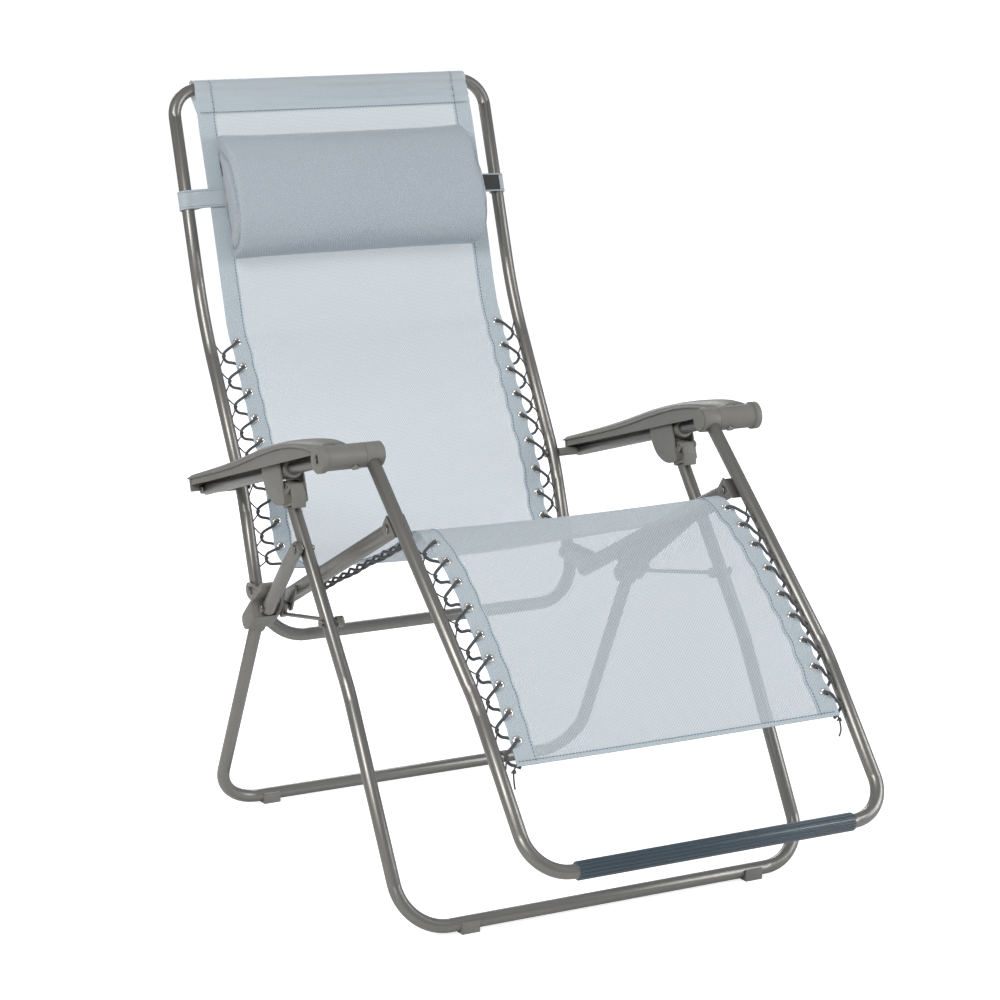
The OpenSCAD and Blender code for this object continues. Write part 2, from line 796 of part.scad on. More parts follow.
// Armrest pad: an inverted channel over the arm tube, with ribs that sit on the tube
module arm_pad(side) {
    crown = concat(pad_crown, [[pad_rear, pad_edge_h], [6, pad_edge_h]]);
    inside = concat([for (p = pad_crown) p - [0, pad_wall]],
        [[pad_rear, pad_edge_h - 4], [6, pad_edge_h - 4]]);
    placed(plastic_colour) on_side(side) in_arm() difference() {
        union() {
            difference() {
                side_plate(-pad_x - pad_half, -pad_x + pad_half) polygon(crown);
                side_plate(-pad_x - pad_half + pad_wall, -pad_x + pad_half - pad_wall)
                    polygon([for (p = inside) [p[0] < 10 ? 24 : p[0] + (p[0] > 500 ? 5 : 0), p[1]]]);
            }
            for (s = [300, 440]) translate([-pad_x - pad_half + 1, s, 6])
                cube([2 * pad_half - 2, 4, 20]);
        }
        translate([-arm_x, 0, 0]) rotate([-90, 0, 0]) cylinder(h = 600, r = arm_tube_r);
        rotate([0, -90, 0]) translate([0, 0, 280]) cylinder(h = 90, r = 20.5);
    }
}

// ---------- carriages and lock levers ----------

slider_r = 13;
slider_front = carriage_s - 22;
slider_rear = carriage_s + 50;

// Sliding sleeve on the arm tube, with a collar at its front
module carriage(side) {
    placed(plastic_colour) on_side(side) in_arm() difference() {
        union() {
            translate([-arm_x, slider_front, 0]) rotate([-90, 0, 0])
                cylinder(h = slider_rear - slider_front, r = slider_r);
            translate([-arm_x, slider_front, 0]) rotate([-90, 0, 0]) cylinder(h = 15, r = slider_r + 1.3);
        }
        translate([-arm_x, slider_front - 1, 0]) rotate([-90, 0, 0])
            cylinder(h = slider_rear - slider_front + 2, r = arm_tube_r + running_fit);
    }
}

module lever_pins() {
    length = 2 * lever_half + 6;
    placed(steel_colour) for (s = [left, right]) on_side(s)
        translate([-arm_x - length / 2, leg_top_axis[0], leg_top_axis[1]]) rotate([arm_tilt, 0, 0])
            translate([0, lever_axis[0], lever_axis[1]]) rotate([0, 90, 0])
                cylinder(h = length, r = lever_pin_r);
}

// Wing-shaped lever that hangs in front of the leg's socket
module lock_lever(side) {
    knee = lever_axis + [-5, -14];
    tip = lever_axis + [-1, -30];
    placed(plastic_colour) on_side(side) difference() {
        side_plate(-arm_x - lever_half + 0.4, -arm_x + lever_half - 0.4)
            translate(leg_top_axis) rotate(arm_tilt) union() {
                hull() {
                    translate(lever_axis) circle(r = 4.5);
                    translate(knee) circle(r = 2.5);
                }
                hull() {
                    translate(knee) circle(r = 2.5);
                    translate(tip) circle(r = 2);
                }
            }
        lever_bore(lever_pin_r + running_fit);
    }
}

front_leg_frame();
front_feet();
leg_socket(left);  // leg_socket_left
leg_socket(right);  // leg_socket_right
link_bar(left);  // link_bar_left
link_bar(right);  // link_bar_right
tie_rod(left);  // tie_rod_left
tie_rod(right);  // tie_rod_right
stand_bolts();
pivot_pins();
rear_leg_frame();
rear_feet();
rear_bracket(left);  // rear_bracket_left
rear_bracket(right);  // rear_bracket_right
seat_tube(left);  // seat_tube_left
seat_tube(right);  // seat_tube_right
seat_lugs();
rear_gussets(left);  // rear_gussets_left
rear_gussets(right);  // rear_gussets_right
rear_hinge_rivets();
seat_sling();
seat_elastic(left);  // seat_elastic_left
seat_elastic(right);  // seat_elastic_right
back_frame();
back_sling();
back_eyelets();
back_lacing(left);  // back_lacing_left
back_lacing(right);  // back_lacing_right
head_pillow();
pillow_strap(left);  // pillow_strap_left
pillow_strap(right);  // pillow_strap_right
arm_pivot_bolts();
arm_spacers();
leg_rest_frame();
foot_sleeve();
leg_sling();
leg_eyelets();
leg_lacing(left);  // leg_lacing_left
leg_lacing(right);  // leg_lacing_right
front_gussets(left);  // front_gussets_left
front_gussets(right);  // front_gussets_right
front_hinge_rivets();
frame_cap(left);  // frame_cap_left
frame_cap(right);  // frame_cap_right
arm_tube(left);  // arm_tube_left
arm_tube(right);  // arm_tube_right
arm_pad(left);  // arm_pad_left
arm_pad(right);  // arm_pad_right
arm_housing(left);  // arm_housing_left
arm_housing(right);  // arm_housing_right
housing_screws();
carriage(left);  // carriage_left
carriage(right);  // carriage_right
lever_pins();
lock_lever(left);  // lock_lever_left
lock_lever(right);  // lock_lever_right
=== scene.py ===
"""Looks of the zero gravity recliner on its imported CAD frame: laced mesh sling, head pillow,
moulded armrests and hardware. The frame is in metres, +Z up, and the back leans to +Y.
Places that the design gives in millimetres go through mm() or in_arm(). Other lengths are in
metres, unless a name ends in _mm or _MM."""

import json
import math

import bmesh
import bpy
import numpy as np
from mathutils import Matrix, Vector
from mathutils.bvhtree import BVHTree


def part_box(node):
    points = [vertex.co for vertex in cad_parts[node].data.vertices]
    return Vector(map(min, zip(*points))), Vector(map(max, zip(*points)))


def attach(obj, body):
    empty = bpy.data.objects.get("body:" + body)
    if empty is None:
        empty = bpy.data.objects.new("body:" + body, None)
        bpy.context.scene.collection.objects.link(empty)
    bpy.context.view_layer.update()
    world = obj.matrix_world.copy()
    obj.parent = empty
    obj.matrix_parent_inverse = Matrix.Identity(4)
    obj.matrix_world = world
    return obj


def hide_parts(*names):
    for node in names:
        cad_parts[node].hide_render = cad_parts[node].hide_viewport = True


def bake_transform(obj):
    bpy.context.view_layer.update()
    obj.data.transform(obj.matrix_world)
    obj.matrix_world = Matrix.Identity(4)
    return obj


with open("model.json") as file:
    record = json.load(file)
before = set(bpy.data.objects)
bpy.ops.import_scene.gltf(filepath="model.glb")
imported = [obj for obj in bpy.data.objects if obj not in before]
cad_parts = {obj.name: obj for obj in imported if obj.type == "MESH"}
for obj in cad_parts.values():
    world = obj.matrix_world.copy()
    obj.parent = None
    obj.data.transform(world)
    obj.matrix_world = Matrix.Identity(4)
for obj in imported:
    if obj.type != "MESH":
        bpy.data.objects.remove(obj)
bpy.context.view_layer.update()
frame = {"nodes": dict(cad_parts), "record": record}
NODES = frame["nodes"]
SIDES = {"left": -1, "right": 1}

# The design's side view starts at the front floor bar, this far in front of the frame's origin.
FRONT_BAR_MM = 323.5


def mm(x, y, z):
    """A place given as the design gives it, in millimetres from the front bar, in the row frame."""
    return Vector((x, y - FRONT_BAR_MM, z)) / 1000


# ---------- camera, light and floor ----------


def aim_camera():
    azimuth, elevation = math.radians(-28.405), math.radians(12.0)
    data = bpy.data.cameras.new("camera")
    data.lens, data.sensor_width = 108, 36
    data.clip_start, data.clip_end = 0.1, 120
    camera = bpy.data.objects.new("camera", data)
    camera.location = (-2.0984, -3.8596, 1.4695)
    back = Vector((
        math.sin(azimuth) * math.cos(elevation),
        -math.cos(azimuth) * math.cos(elevation),
        math.sin(elevation),
    ))
    camera.rotation_mode = "QUATERNION"
    camera.rotation_quaternion = (-back).to_track_quat("-Z", "Y")
    bpy.context.scene.collection.objects.link(camera)
    bpy.context.scene.camera = camera


def area_light(name, place, target, size, power, colour=(1, 1, 1)):
    data = bpy.data.lights.new(name, "AREA")
    data.shape = "RECTANGLE"
    data.size, data.size_y = size
    data.energy = power
    data.color = colour
    light = bpy.data.objects.new(name, data)
    light.location = place
    light.rotation_mode = "QUATERNION"
    light.rotation_quaternion = (Vector(target) - Vector(place)).to_track_quat("-Z", "Y")
    bpy.context.scene.collection.objects.link(light)


def light_studio():
    world = bpy.data.worlds.new("studio")
    bpy.context.scene.world = world
    world.use_nodes = True
    tree = world.node_tree
    tree.nodes.clear()
    output = tree.nodes.new("ShaderNodeOutputWorld")
    mix = tree.nodes.new("ShaderNodeMixShader")
    path = tree.nodes.new("ShaderNodeLightPath")
    ambient = tree.nodes.new("ShaderNodeBackground")
    ambient.inputs[0].default_value = (0.93, 0.96, 1.0, 1)
    ambient.inputs[1].default_value = 0.41
    backdrop = tree.nodes.new("ShaderNodeBackground")
    backdrop.inputs[0].default_value = (1, 1, 1, 1)
    backdrop.inputs[1].default_value = 1.0
    tree.links.new(path.outputs["Is Camera Ray"], mix.inputs[0])
    tree.links.new(ambient.outputs[0], mix.inputs[1])
    tree.links.new(backdrop.outputs[0], mix.inputs[2])
    tree.links.new(mix.outputs[0], output.inputs[0])
    middle = (0, 0, 0.5)
    area_light("key", (-3.1, -2.2, 3.1), middle, (1.5, 1.7), 104, (1, 0.99, 0.97))
    area_light("fill", (3.2, -2.2, 1.8), middle, (1.2, 2.2), 48, (0.96, 0.98, 1))
    area_light("back", (0.6, 3.4, 2.4), middle, (2.4, 1.0), 58)
    bpy.context.scene.view_settings.view_transform = "Standard"


def lay_floor():
    size = 70
    mesh = bpy.data.meshes.new("floor")
    mesh.from_pydata([(-size, -size, 0), (size, -size, 0), (size, size, 0), (-size, size, 0)],
                     [], [(0, 1, 2, 3)])
    floor = bpy.data.objects.new("floor", mesh)
    bpy.context.scene.collection.objects.link(floor)
    s = Shader("floor")
    seen = s.math("MULTIPLY", s.add("LightPath").outputs["Is Camera Ray"], 0.72)
    surface = s.add("BsdfPrincipled", Base_Color=(0.86, 0.86, 0.86), Roughness=0.9,
                    Emission_Color=(1, 1, 1), Emission_Strength=seen)
    floor.data.materials.append(s.finish(surface.outputs[0]))


# ---------- materials ----------


class Shader:
    """Short way to write a material's nodes."""

    def __init__(self, name):
        self.material = bpy.data.materials.new(name)
        self.material.use_nodes = True
        self.tree = self.material.node_tree
        self.tree.nodes.clear()
        self.output = self.tree.nodes.new("ShaderNodeOutputMaterial")

    def put(self, socket, value):
        if isinstance(value, bpy.types.NodeSocket):
            self.tree.links.new(value, socket)
        elif isinstance(value, (tuple, list)) and len(value) == 3 and socket.type == "RGBA":
            socket.default_value = (*value, 1)
        else:
            socket.default_value = value

    def add(self, kind, settings=None, **inputs):
        """A node of that kind; its inputs are given by name, with _ for a space."""
        node = self.tree.nodes.new("ShaderNode" + kind)
        for key, value in (settings or {}).items():
            setattr(node, key, value)
        for key, value in inputs.items():
            self.put(node.inputs[key.replace("_", " ")], value)
        return node

    def math(self, operation, a, b=0.0, c=0.0):
        node = self.tree.nodes.new("ShaderNodeMath")
        node.operation = operation
        for i, value in enumerate((a, b, c)):
            self.put(node.inputs[i], value)
        return node.outputs[0]

    def mix_colour(self, share, a, b):
        node = self.add("Mix", {"data_type": "RGBA"})
        self.put(node.inputs[0], share)
        self.put(node.inputs[6], a)
        self.put(node.inputs[7], b)
        return node.outputs[2]

    def mix_shaders(self, share, a, b):
        node = self.add("MixShader", Fac=share)
        self.put(node.inputs[1], a)
        self.put(node.inputs[2], b)
        return node.outputs[0]

    def noise(self, scale, detail):
        place = self.add("TexCoord").outputs["Object"]
        return self.add("TexNoise", Vector=place, Scale=scale, Detail=detail).outputs["Fac"]

    def bump(self, height, distance, strength=1.0):
        return self.add("Bump", Height=height, Distance=distance, Strength=strength).outputs[0]

    def finish(self, shader):
        self.tree.links.new(shader, self.output.inputs[0])
        return self.material


def frame_paint():
    """Satin metallic paint: fine flake and orange peel, slight unevenness, a thin clear coat."""
    s = Shader("frame_paint")
    cloud = s.noise(14, 3)
    flake = s.noise(3800, 1)
    colour = s.mix_colour(cloud, (0.214, 0.206, 0.189), (0.256, 0.247, 0.229))
    colour = s.mix_colour(s.math("MULTIPLY", flake, 0.35), colour, (0.36, 0.35, 0.33))
    rough = s.math("MULTIPLY_ADD", s.noise(60, 3), 0.12, 0.29)
    peel = s.bump(s.math("ADD", s.noise(700, 2), s.math("MULTIPLY", flake, 0.25)), 0.00004)
    return s.finish(s.add(
        "BsdfPrincipled", Base_Color=colour, Metallic=0.72, Roughness=rough, Normal=peel,
        Coat_Weight=0.12, Coat_Roughness=0.3).outputs[0])


def taupe_plastic():
    """Moulded plastic with a fine grain."""
    s = Shader("taupe_plastic")
    colour = s.mix_colour(s.noise(30, 4), (0.196, 0.189, 0.171), (0.236, 0.229, 0.209))
    rough = s.math("MULTIPLY_ADD", s.noise(90, 3), 0.14, 0.40)
    grain = s.bump(s.noise(2600, 2), 0.00006)
    return s.finish(s.add(
        "BsdfPrincipled", Base_Color=colour, Roughness=rough, Normal=grain,
        Specular_IOR_Level=0.45).outputs[0])


def recess_shade_and_tab_black():
    # Near black: painted shade for each housing's six-sided recess, and the strap tab's own dark colour.
    s = Shader("recess_shade_and_dark_tab")
    colour = s.mix_colour(s.noise(60, 2), (0.012, 0.012, 0.012), (0.03, 0.029, 0.027))
    return s.finish(s.add("BsdfPrincipled", Base_Color=colour, Roughness=0.55).outputs[0])


def bolt_steel():
    s = Shader("bolt_steel")
    colour = s.mix_colour(s.noise(120, 3), (0.24, 0.23, 0.205), (0.34, 0.328, 0.30))
    rough = s.math("MULTIPLY_ADD", s.noise(300, 2), 0.2, 0.22)
    return s.finish(s.add(
        "BsdfPrincipled", Base_Color=colour, Metallic=1.0, Roughness=rough,
        Normal=s.bump(s.noise(1500, 2), 0.00003)).outputs[0])


def eyelet_metal():
    s = Shader("eyelet_metal")
    colour = s.mix_colour(s.noise(400, 2), (0.86, 0.83, 0.76), (0.96, 0.94, 0.9))
    return s.finish(s.add(
        "BsdfPrincipled", Base_Color=colour, Metallic=1.0, Roughness=0.16,
        Normal=s.bump(s.noise(900, 2), 0.00003)).outputs[0])


WEAVE_PITCH, BRAID_PITCH = 0.0044, 0.0035


def places(s, kind):
    """Separate texture coordinates, in metres."""
    return s.add("SeparateXYZ", Vector=s.add("TexCoord").outputs[kind]).outputs


def weave(s, across, down):
    """Height of a diagonal weave."""
    a, b = [s.math("SINE", s.math("MULTIPLY", way, 2 * math.pi / WEAVE_PITCH)) for way in (across, down)]
    return s.math("MULTIPLY", a, b)


def see_through(s, cloth, bump, glow_colour, glow_share, open_share):
    """Finishes a fabric that lets some light and some sight through."""
    glow = s.add("BsdfTranslucent", Color=glow_colour, Normal=bump)
    solid = s.mix_shaders(glow_share, cloth.outputs[0], glow.outputs[0])
    return s.finish(s.mix_shaders(open_share, solid, s.add("BsdfTransparent").outputs[0]))


def sling_mesh():
    """Coated mesh: a diagonal weave with small open holes, which lets some light and sight through, with a
    painted highlight on its raised threads.
    """
    s = Shader("sling_mesh")
    thread = weave(s, *places(s, "UV")[:2])
    hole = s.math("GREATER_THAN", s.math("MULTIPLY", thread, -1.0), 0.60)
    colour = s.mix_colour(s.noise(7, 3), (0.500, 0.565, 0.612), (0.54, 0.600, 0.645))
    # The raised threads are painted lighter: a painted highlight on the thread tops, over the weave's
    # pattern.
    colour = s.mix_colour(s.math("MULTIPLY_ADD", thread, 0.34, 0.34), colour, (0.68, 0.735, 0.77))
    bump = s.bump(thread, 0.00035, 0.6)
    cloth = s.add("BsdfPrincipled", Base_Color=colour, Roughness=0.5, Normal=bump,
                  Specular_IOR_Level=0.3, Sheen_Weight=0.08)
    open_share = s.math("MULTIPLY_ADD", hole, 0.50, 0.07)
    return see_through(s, cloth, bump, (0.66, 0.715, 0.75), 0.38, open_share)


def hem_mesh():
    """Two layers of the same mesh: nearly closed, with a painted highlight on the raised threads."""
    s = Shader("hem_mesh")
    thread = weave(s, *places(s, "UV")[:2])
    base = s.mix_colour(s.noise(9, 3), (0.55, 0.645, 0.705), (0.605, 0.70, 0.755))
    # The raised threads are painted lighter: a painted highlight on the thread tops, over the weave's
    # pattern.
    colour = s.mix_colour(s.math("MULTIPLY_ADD", thread, 0.42, 0.42), base, (0.88, 0.915, 0.935))
    bump = s.bump(thread, 0.0004, 0.7)
    cloth = s.add("BsdfPrincipled", Base_Color=colour, Roughness=0.5, Normal=bump,
                  Specular_IOR_Level=0.3)
    return see_through(s, cloth, bump, (0.74, 0.80, 0.84), 0.32, 0.04)


def pillow_fabric():
    """The pillow's closer, greyer mesh, with a painted highlight on its raised threads. Its weave comes
    from the object's own directions.
    """
    s = Shader("pillow_fabric")
    x, y, z = places(s, "Object")
    thread = weave(s, x, s.math("ADD", z, s.math("MULTIPLY", y, 0.6)))
    base = s.mix_colour(s.noise(6, 3), (0.345, 0.395, 0.440), (0.385, 0.432, 0.478))
    # The raised threads are painted lighter: a painted highlight on the thread tops, over the weave's
    # pattern.
    colour = s.mix_colour(s.math("MULTIPLY_ADD", thread, 0.34, 0.32), base, (0.60, 0.645, 0.69))
    bump = s.bump(thread, 0.0004, 0.6)
    return s.finish(s.add(
        "BsdfPrincipled", Base_Color=colour, Roughness=0.55, Normal=bump, Sheen_Weight=0.15,
        Specular_IOR_Level=0.3).outputs[0])


def elastic_cord():
    """Braided elastic: the UV map runs round the cord once and along it in metres."""
    s = Shader("elastic_cord")
    u, v = places(s, "UV")[:2]
    around = s.math("MULTIPLY", u, 2 * math.pi * 4)
    along = s.math("MULTIPLY", v, 2 * math.pi / BRAID_PITCH)
    a = s.math("SINE", s.math("ADD", around, along))
    b = s.math("SINE", s.math("SUBTRACT", around, along))
    braid = s.math("MULTIPLY", a, b)
    share = s.math("MULTIPLY_ADD", braid, 0.4, 0.4)
    colour = s.mix_colour(share, (0.045, 0.048, 0.055), (0.12, 0.125, 0.135))
    return s.finish(s.add(
        "BsdfPrincipled", Base_Color=colour, Roughness=0.62, Normal=s.bump(braid, 0.0004, 0.6),
        Sheen_Weight=0.2).outputs[0])


def sewing_thread():
    s = Shader("sewing_thread")
    colour = s.mix_colour(s.noise(900, 1), (0.15, 0.21, 0.26), (0.25, 0.32, 0.38))
    return s.finish(s.add("BsdfPrincipled", Base_Color=colour, Roughness=0.7).outputs[0])


def foot_rubber():
    s = Shader("foot_rubber")
    colour = s.mix_colour(s.noise(40, 3), (0.036, 0.060, 0.080), (0.054, 0.084, 0.108))
    return s.finish(s.add(
        "BsdfPrincipled", Base_Color=colour, Roughness=s.math("MULTIPLY_ADD", s.noise(200, 2), 0.14, 0.24),
        Specular_IOR_Level=0.8, Normal=s.bump(s.noise(1800, 2), 0.00004)).outputs[0])


MATERIALS = {
    "frame_paint": frame_paint(),
    "taupe_plastic": taupe_plastic(),
    "bolt_steel": bolt_steel(),
    "eyelet_metal": eyelet_metal(),
    "sling_mesh": sling_mesh(),
    "pillow_fabric": pillow_fabric(),
    "elastic_cord": elastic_cord(),
    "foot_rubber": foot_rubber(),
    "hem_mesh": hem_mesh(),
    "sewing_thread": sewing_thread(),
    "recess_shade_and_dark_tab": recess_shade_and_tab_black(),
}


# ---------- mesh helpers ----------


def make(name, points, faces, material, uvs=None):
    """A mesh object from points in metres; uvs is one (u, v) for each point."""
    mesh = bpy.data.meshes.new(name)
    mesh.from_pydata([tuple(p) for p in points], [], faces)
    mesh.polygons.foreach_set("use_smooth", [True] * len(mesh.polygons))
    if uvs is not None:
        layer = mesh.uv_layers.new(name="UVMap")
        flat = np.array(uvs, float)[[loop.vertex_index for loop in mesh.loops]]
        layer.data.foreach_set("uv", flat.ravel())
    mesh.materials.append(MATERIALS[material])
    mesh.update()
    piece = bpy.data.objects.new(name, mesh)
    bpy.context.scene.collection.objects.link(piece)
    return piece


def joined(name, pieces):
    """One object from several, in order."""
    with bpy.context.temp_override(active_object=pieces[0], selected_editable_objects=pieces,
                                   object=pieces[0], selected_objects=pieces):
        bpy.ops.object.join()
    pieces[0].name = name
    pieces[0].data.name = name
    return pieces[0]


def apply_modifiers(piece):
    """Replaces the piece's mesh by what its modifiers make of it."""
    evaluated = piece.evaluated_get(bpy.context.evaluated_depsgraph_get())
    mesh = bpy.data.meshes.new_from_object(evaluated)
    old = piece.data
    piece.modifiers.clear()
    piece.data = mesh
    bpy.data.meshes.remove(old)


def sharpen(piece, degrees):
    """Smooth faces, with edges sharper than that left crisp."""
    limit = math.radians(degrees)
    shape = bmesh.new()
    shape.from_mesh(piece.data)
    for edge in shape.edges:
        edge.smooth = len(edge.link_faces) != 2 or edge.calc_face_angle(0) < limit
    shape.to_mesh(piece.data)
    shape.free()


def bevelled(piece, width):
    """Rounds the piece's sharp edges, in metres."""
    bevel = piece.modifiers.new("bevel", "BEVEL")
    bevel.width = width
    bevel.segments = 2
    bevel.limit_method = "ANGLE"
    bevel.angle_limit = math.radians(35)
    bevel.harden_normals = True
    apply_modifiers(piece)
    return piece


def smooth_path(points, step):
    """A Catmull-Rom line through the points, cut into pieces of about step metres."""
    points = [Vector(p) for p in points]
    ends = [points[0] * 2 - points[1], *points, points[-1] * 2 - points[-2]]
    line = []
    for a, b, c, d in zip(ends, ends[1:], ends[2:], ends[3:]):
        count = max(1, round((c - b).length / step))
        for i in range(count):
            t = i / count
            line.append(0.5 * (2 * b + (c - a) * t + (2 * a - 5 * b + 4 * c - d) * t * t
                               + (3 * b - a - 3 * c + d) * t ** 3))
    return [*line, points[-1].copy()]


def lengths_along(line):
    """Length from the start to each point of a line."""
    total = [0.0]
    for a, b in zip(line, line[1:]):
        total.append(total[-1] + (b - a).length)
    return total


def heading(line, i):
    """Direction of a line at one of its points."""
    return (line[min(i + 1, len(line) - 1)] - line[max(i - 1, 0)]).normalized()


def circle(centre, radius, u, w, sides):
    """Points round a centre, in the plane of two directions."""
    angles = [2 * math.pi * k / sides for k in range(sides)]
    return [centre + radius * (u * math.cos(a) + w * math.sin(a)) for a in angles]


def grid_faces(rows, columns):
    """Faces of a grid whose points are stored row by row."""
    corners = [r * columns + c for r in range(rows - 1) for c in range(columns - 1)]
    return [(a, a + 1, a + columns + 1, a + columns) for a in corners]


def tube_faces(rings, sides):
    """Faces of a closed tube whose points are stored ring by ring."""
    faces = []
    for i in range(rings - 1):
        for k in range(sides):
            j = (k + 1) % sides
            faces.append((i * sides + k, i * sides + j, (i + 1) * sides + j, (i + 1) * sides + k))
    faces.append(tuple(range(sides - 1, -1, -1)))
    faces.append(tuple((rings - 1) * sides + k for k in range(sides)))
    return faces


def swept(name, line, radius, material, sides=10):
    """A round cord or tube along a line, with rings that don't twist."""
    line = [Vector(p) for p in line]
    run = lengths_along(line)
    points, uvs = [], []
    side = None
    for i, centre in enumerate(line):
        along = heading(line, i)
        if side is None:
            side = along.orthogonal().normalized()
        side = (side - along * side.dot(along)).normalized()
        points += circle(centre, radius, side, along.cross(side), sides)
        uvs += [(k / sides, run[i]) for k in range(sides)]
    return make(name, points, tube_faces(len(line), sides), material, uvs)


def turned(name, profile, place, material, along, sides):
    """A lathe part: profile is [(distance along the axis, radius)] in metres, from place."""
    u = along.orthogonal().normalized()
    w = along.cross(u)
    points = []
    for distance, radius in profile:
        points += circle(place + along * distance, radius, u, w, sides)
    return make(name, points, tube_faces(len(profile), sides), material)


def solids(node):
    """The separate solids of a CAD node, as arrays of points, from left to right."""
    mesh = NODES[node].data
    points = np.array([v.co for v in mesh.vertices])
    keys = {}
    same = [keys.setdefault(tuple(np.round(p, 5)), i) for i, p in enumerate(points)]
    parent = {i: i for i in same}

    def root(i):
        while parent[i] != i:
            parent[i] = parent[parent[i]]
            i = parent[i]
        return i

    for polygon in mesh.polygons:
        first = root(same[polygon.vertices[0]])
        for v in polygon.vertices[1:]:
            parent[root(same[v])] = first
    groups = {}
    for i, s in enumerate(same):
        groups.setdefault(root(s), []).append(points[i])
    found = [np.array(g) for g in groups.values()]
    return sorted(found, key=lambda g: (round(g[:, 0].mean(), 3), -g[:, 2].mean()))


def middle_of(points):
    return Vector((points.min(0) + points.max(0)) / 2)


# ---------- where the CAD parts belong ----------

SLOT_OF = {part["node"]: part["material_slot"] for part in frame["record"]["subparts"]}
BODY_OF = {node: body for body, nodes in frame["record"]["behaviour"]["bodies"].items() for node in nodes}


def settle(piece, *nodes):
    """The piece stands for those CAD nodes and moves with their body."""
    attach(piece, BODY_OF[nodes[0]])
    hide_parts(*nodes)
    return piece


def settle_on(piece, body):
    """The piece has no CAD part of its own and moves with that body."""
    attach(piece, body)


def finished(node, width):
    """A CAD part with rounded edges and smooth curves, in place of its plain mesh."""
    piece = bpy.data.objects.new(f"{node}_finished", NODES[node].data.copy())
    bpy.context.scene.collection.objects.link(piece)
    shape = bmesh.new()
    shape.from_mesh(piece.data)
    bmesh.ops.remove_doubles(shape, verts=shape.verts, dist=0.00001)
    bmesh.ops.dissolve_limit(shape, angle_limit=math.radians(0.6), verts=shape.verts, edges=shape.edges)
    for face in shape.faces:
        face.smooth = True
    shape.to_mesh(piece.data)
    shape.free()
    piece.data.materials.clear()
    piece.data.materials.append(MATERIALS[SLOT_OF[node]])
    bevelled(piece, width)
    return settle(piece, node)


aim_camera()
light_studio()
lay_floor()
for cad_name, cad_node in NODES.items():
    cad_node.data.materials.clear()
    cad_node.data.materials.append(MATERIALS[SLOT_OF[cad_name]])


# ---------- sling ----------

# Side view of the fabric, from the top bar over the seat and the knees to the hem of the leg rest
SLING_SIDE = [(914, 1106), (866, 960), (806, 765), (777, 714), (720, 617), (664, 518), (646, 465),
              (629, 424), (602, 407), (565, 404), (510, 412), (450, 426), (380, 446), (300, 470),
              (220, 503), (160, 534), (126, 549), (80, 534), (40, 512), (0, 482), (-60, 428),
              (-105, 385), (-140, 343), (-185, 288)]
SLING_HALF_MM = 246
MEETING_Y_MM = 450
HEM_MM = 31
EYELET_X_MM = 233
PITCH = 0.006
# Places further out than this move with the fabric's widening
MIDDLE_MM = 150
X = Vector((1, 0, 0))


def fabric_line():
    """The sling's side view as a smooth line with its length at each point."""
    line = smooth_path([mm(0, y, z) for y, z in SLING_SIDE], PITCH)
    return line, lengths_along(line)


LINE, RUN = fabric_line()


def along_at(i):
    return heading(LINE, i)


def outward(i):
    """Direction square to the fabric at a point of its line, towards the person's side."""
    along = along_at(i)
    return Vector((0, along.z, -along.y))


def nearest_index(place):
    """The point of the fabric's line nearest to a place."""
    flat = Vector((0, place.y, place.z))
    return min(range(len(LINE)), key=lambda k: (LINE[k] - flat).length)


def eyelet_indices(node):
    """Points of the fabric's line at the eyelets of the left side, from the top down."""
    found = [middle_of(s) for s in solids(node) if s[:, 0].mean() < 0]
    return sorted(nearest_index(p) for p in found)


EYELETS = {"back": eyelet_indices("back_eyelets"), "leg": eyelet_indices("leg_eyelets")}
EYELET_RUNS = [[RUN[i] for i in indices] for indices in EYELETS.values()]


def edge_pull(run):
    """How far the edge falls in between two eyelets, in metres."""
    for runs in EYELET_RUNS:
        if runs[0] <= run <= runs[-1]:
            k = np.interp(run, runs, range(len(runs)))
            return 0.0026 * (0.5 - 0.5 * math.cos(2 * math.pi * k))
    return 0.0


def widening(run):
    """How much further out the edge and the eyelets sit than at the back, in metres."""
    return float(np.interp(RUN[-1] - run, [0.0, 0.45, 0.75], [0.015, 0.006, 0.0]))


def half_width(run):
    """Half width of the fabric: narrower at the sleeve, scalloped between the eyelets."""
    top = np.interp(run, [0.0, 0.05, 0.33, 0.40], [243, 245, 243, 244]) / 1000
    return top + widening(run) - edge_pull(run)


def sag(i, share):
    """Height of the fabric above its line, square to it, at a share of its half width."""
    y = LINE[i].y
    seat = math.exp(-((y - mm(0, 430, 0).y) / 0.17) ** 2)
    back = math.exp(-((y - mm(0, 720, 0).y) / 0.12) ** 2)
    return (0.007 * seat - 0.006 * back + 0.003) * share ** 2


def fabric_point(i, share, lift=0.0):
    """A point of the fabric at a share of its half width, rippled between the eyelets."""
    run = RUN[i]
    ripple = 0.0
    for runs in EYELET_RUNS:
        if runs[0] - 0.03 <= run <= runs[-1] + 0.03:
            k = np.interp(run, runs, range(len(runs)))
            inward = (1 - abs(share)) * half_width(run)
            ripple = 0.0013 * math.cos(2 * math.pi * k) * math.exp(-inward / 0.03)
    place = Vector((share * half_width(run), LINE[i].y, LINE[i].z))
    return place + outward(i) * (sag(i, share) + lift + ripple)


def on_fabric(run, x_mm, lift_mm=0.0):
    """A place on the fabric, or beside it, by its length along the line and its distance across."""
    i = int(np.searchsorted(RUN, min(run, RUN[-1] - 1e-6), side="right")) - 1
    side = 1 if x_mm > 0 else -1
    x = abs(x_mm) / 1000 + (widening(run) if abs(x_mm) > MIDDLE_MM else 0)
    share = side * min(1.0, x / half_width(run))
    place = fabric_point(i, share, lift_mm / 1000) + along_at(i) * (run - RUN[i])
    place.x = side * x
    return place


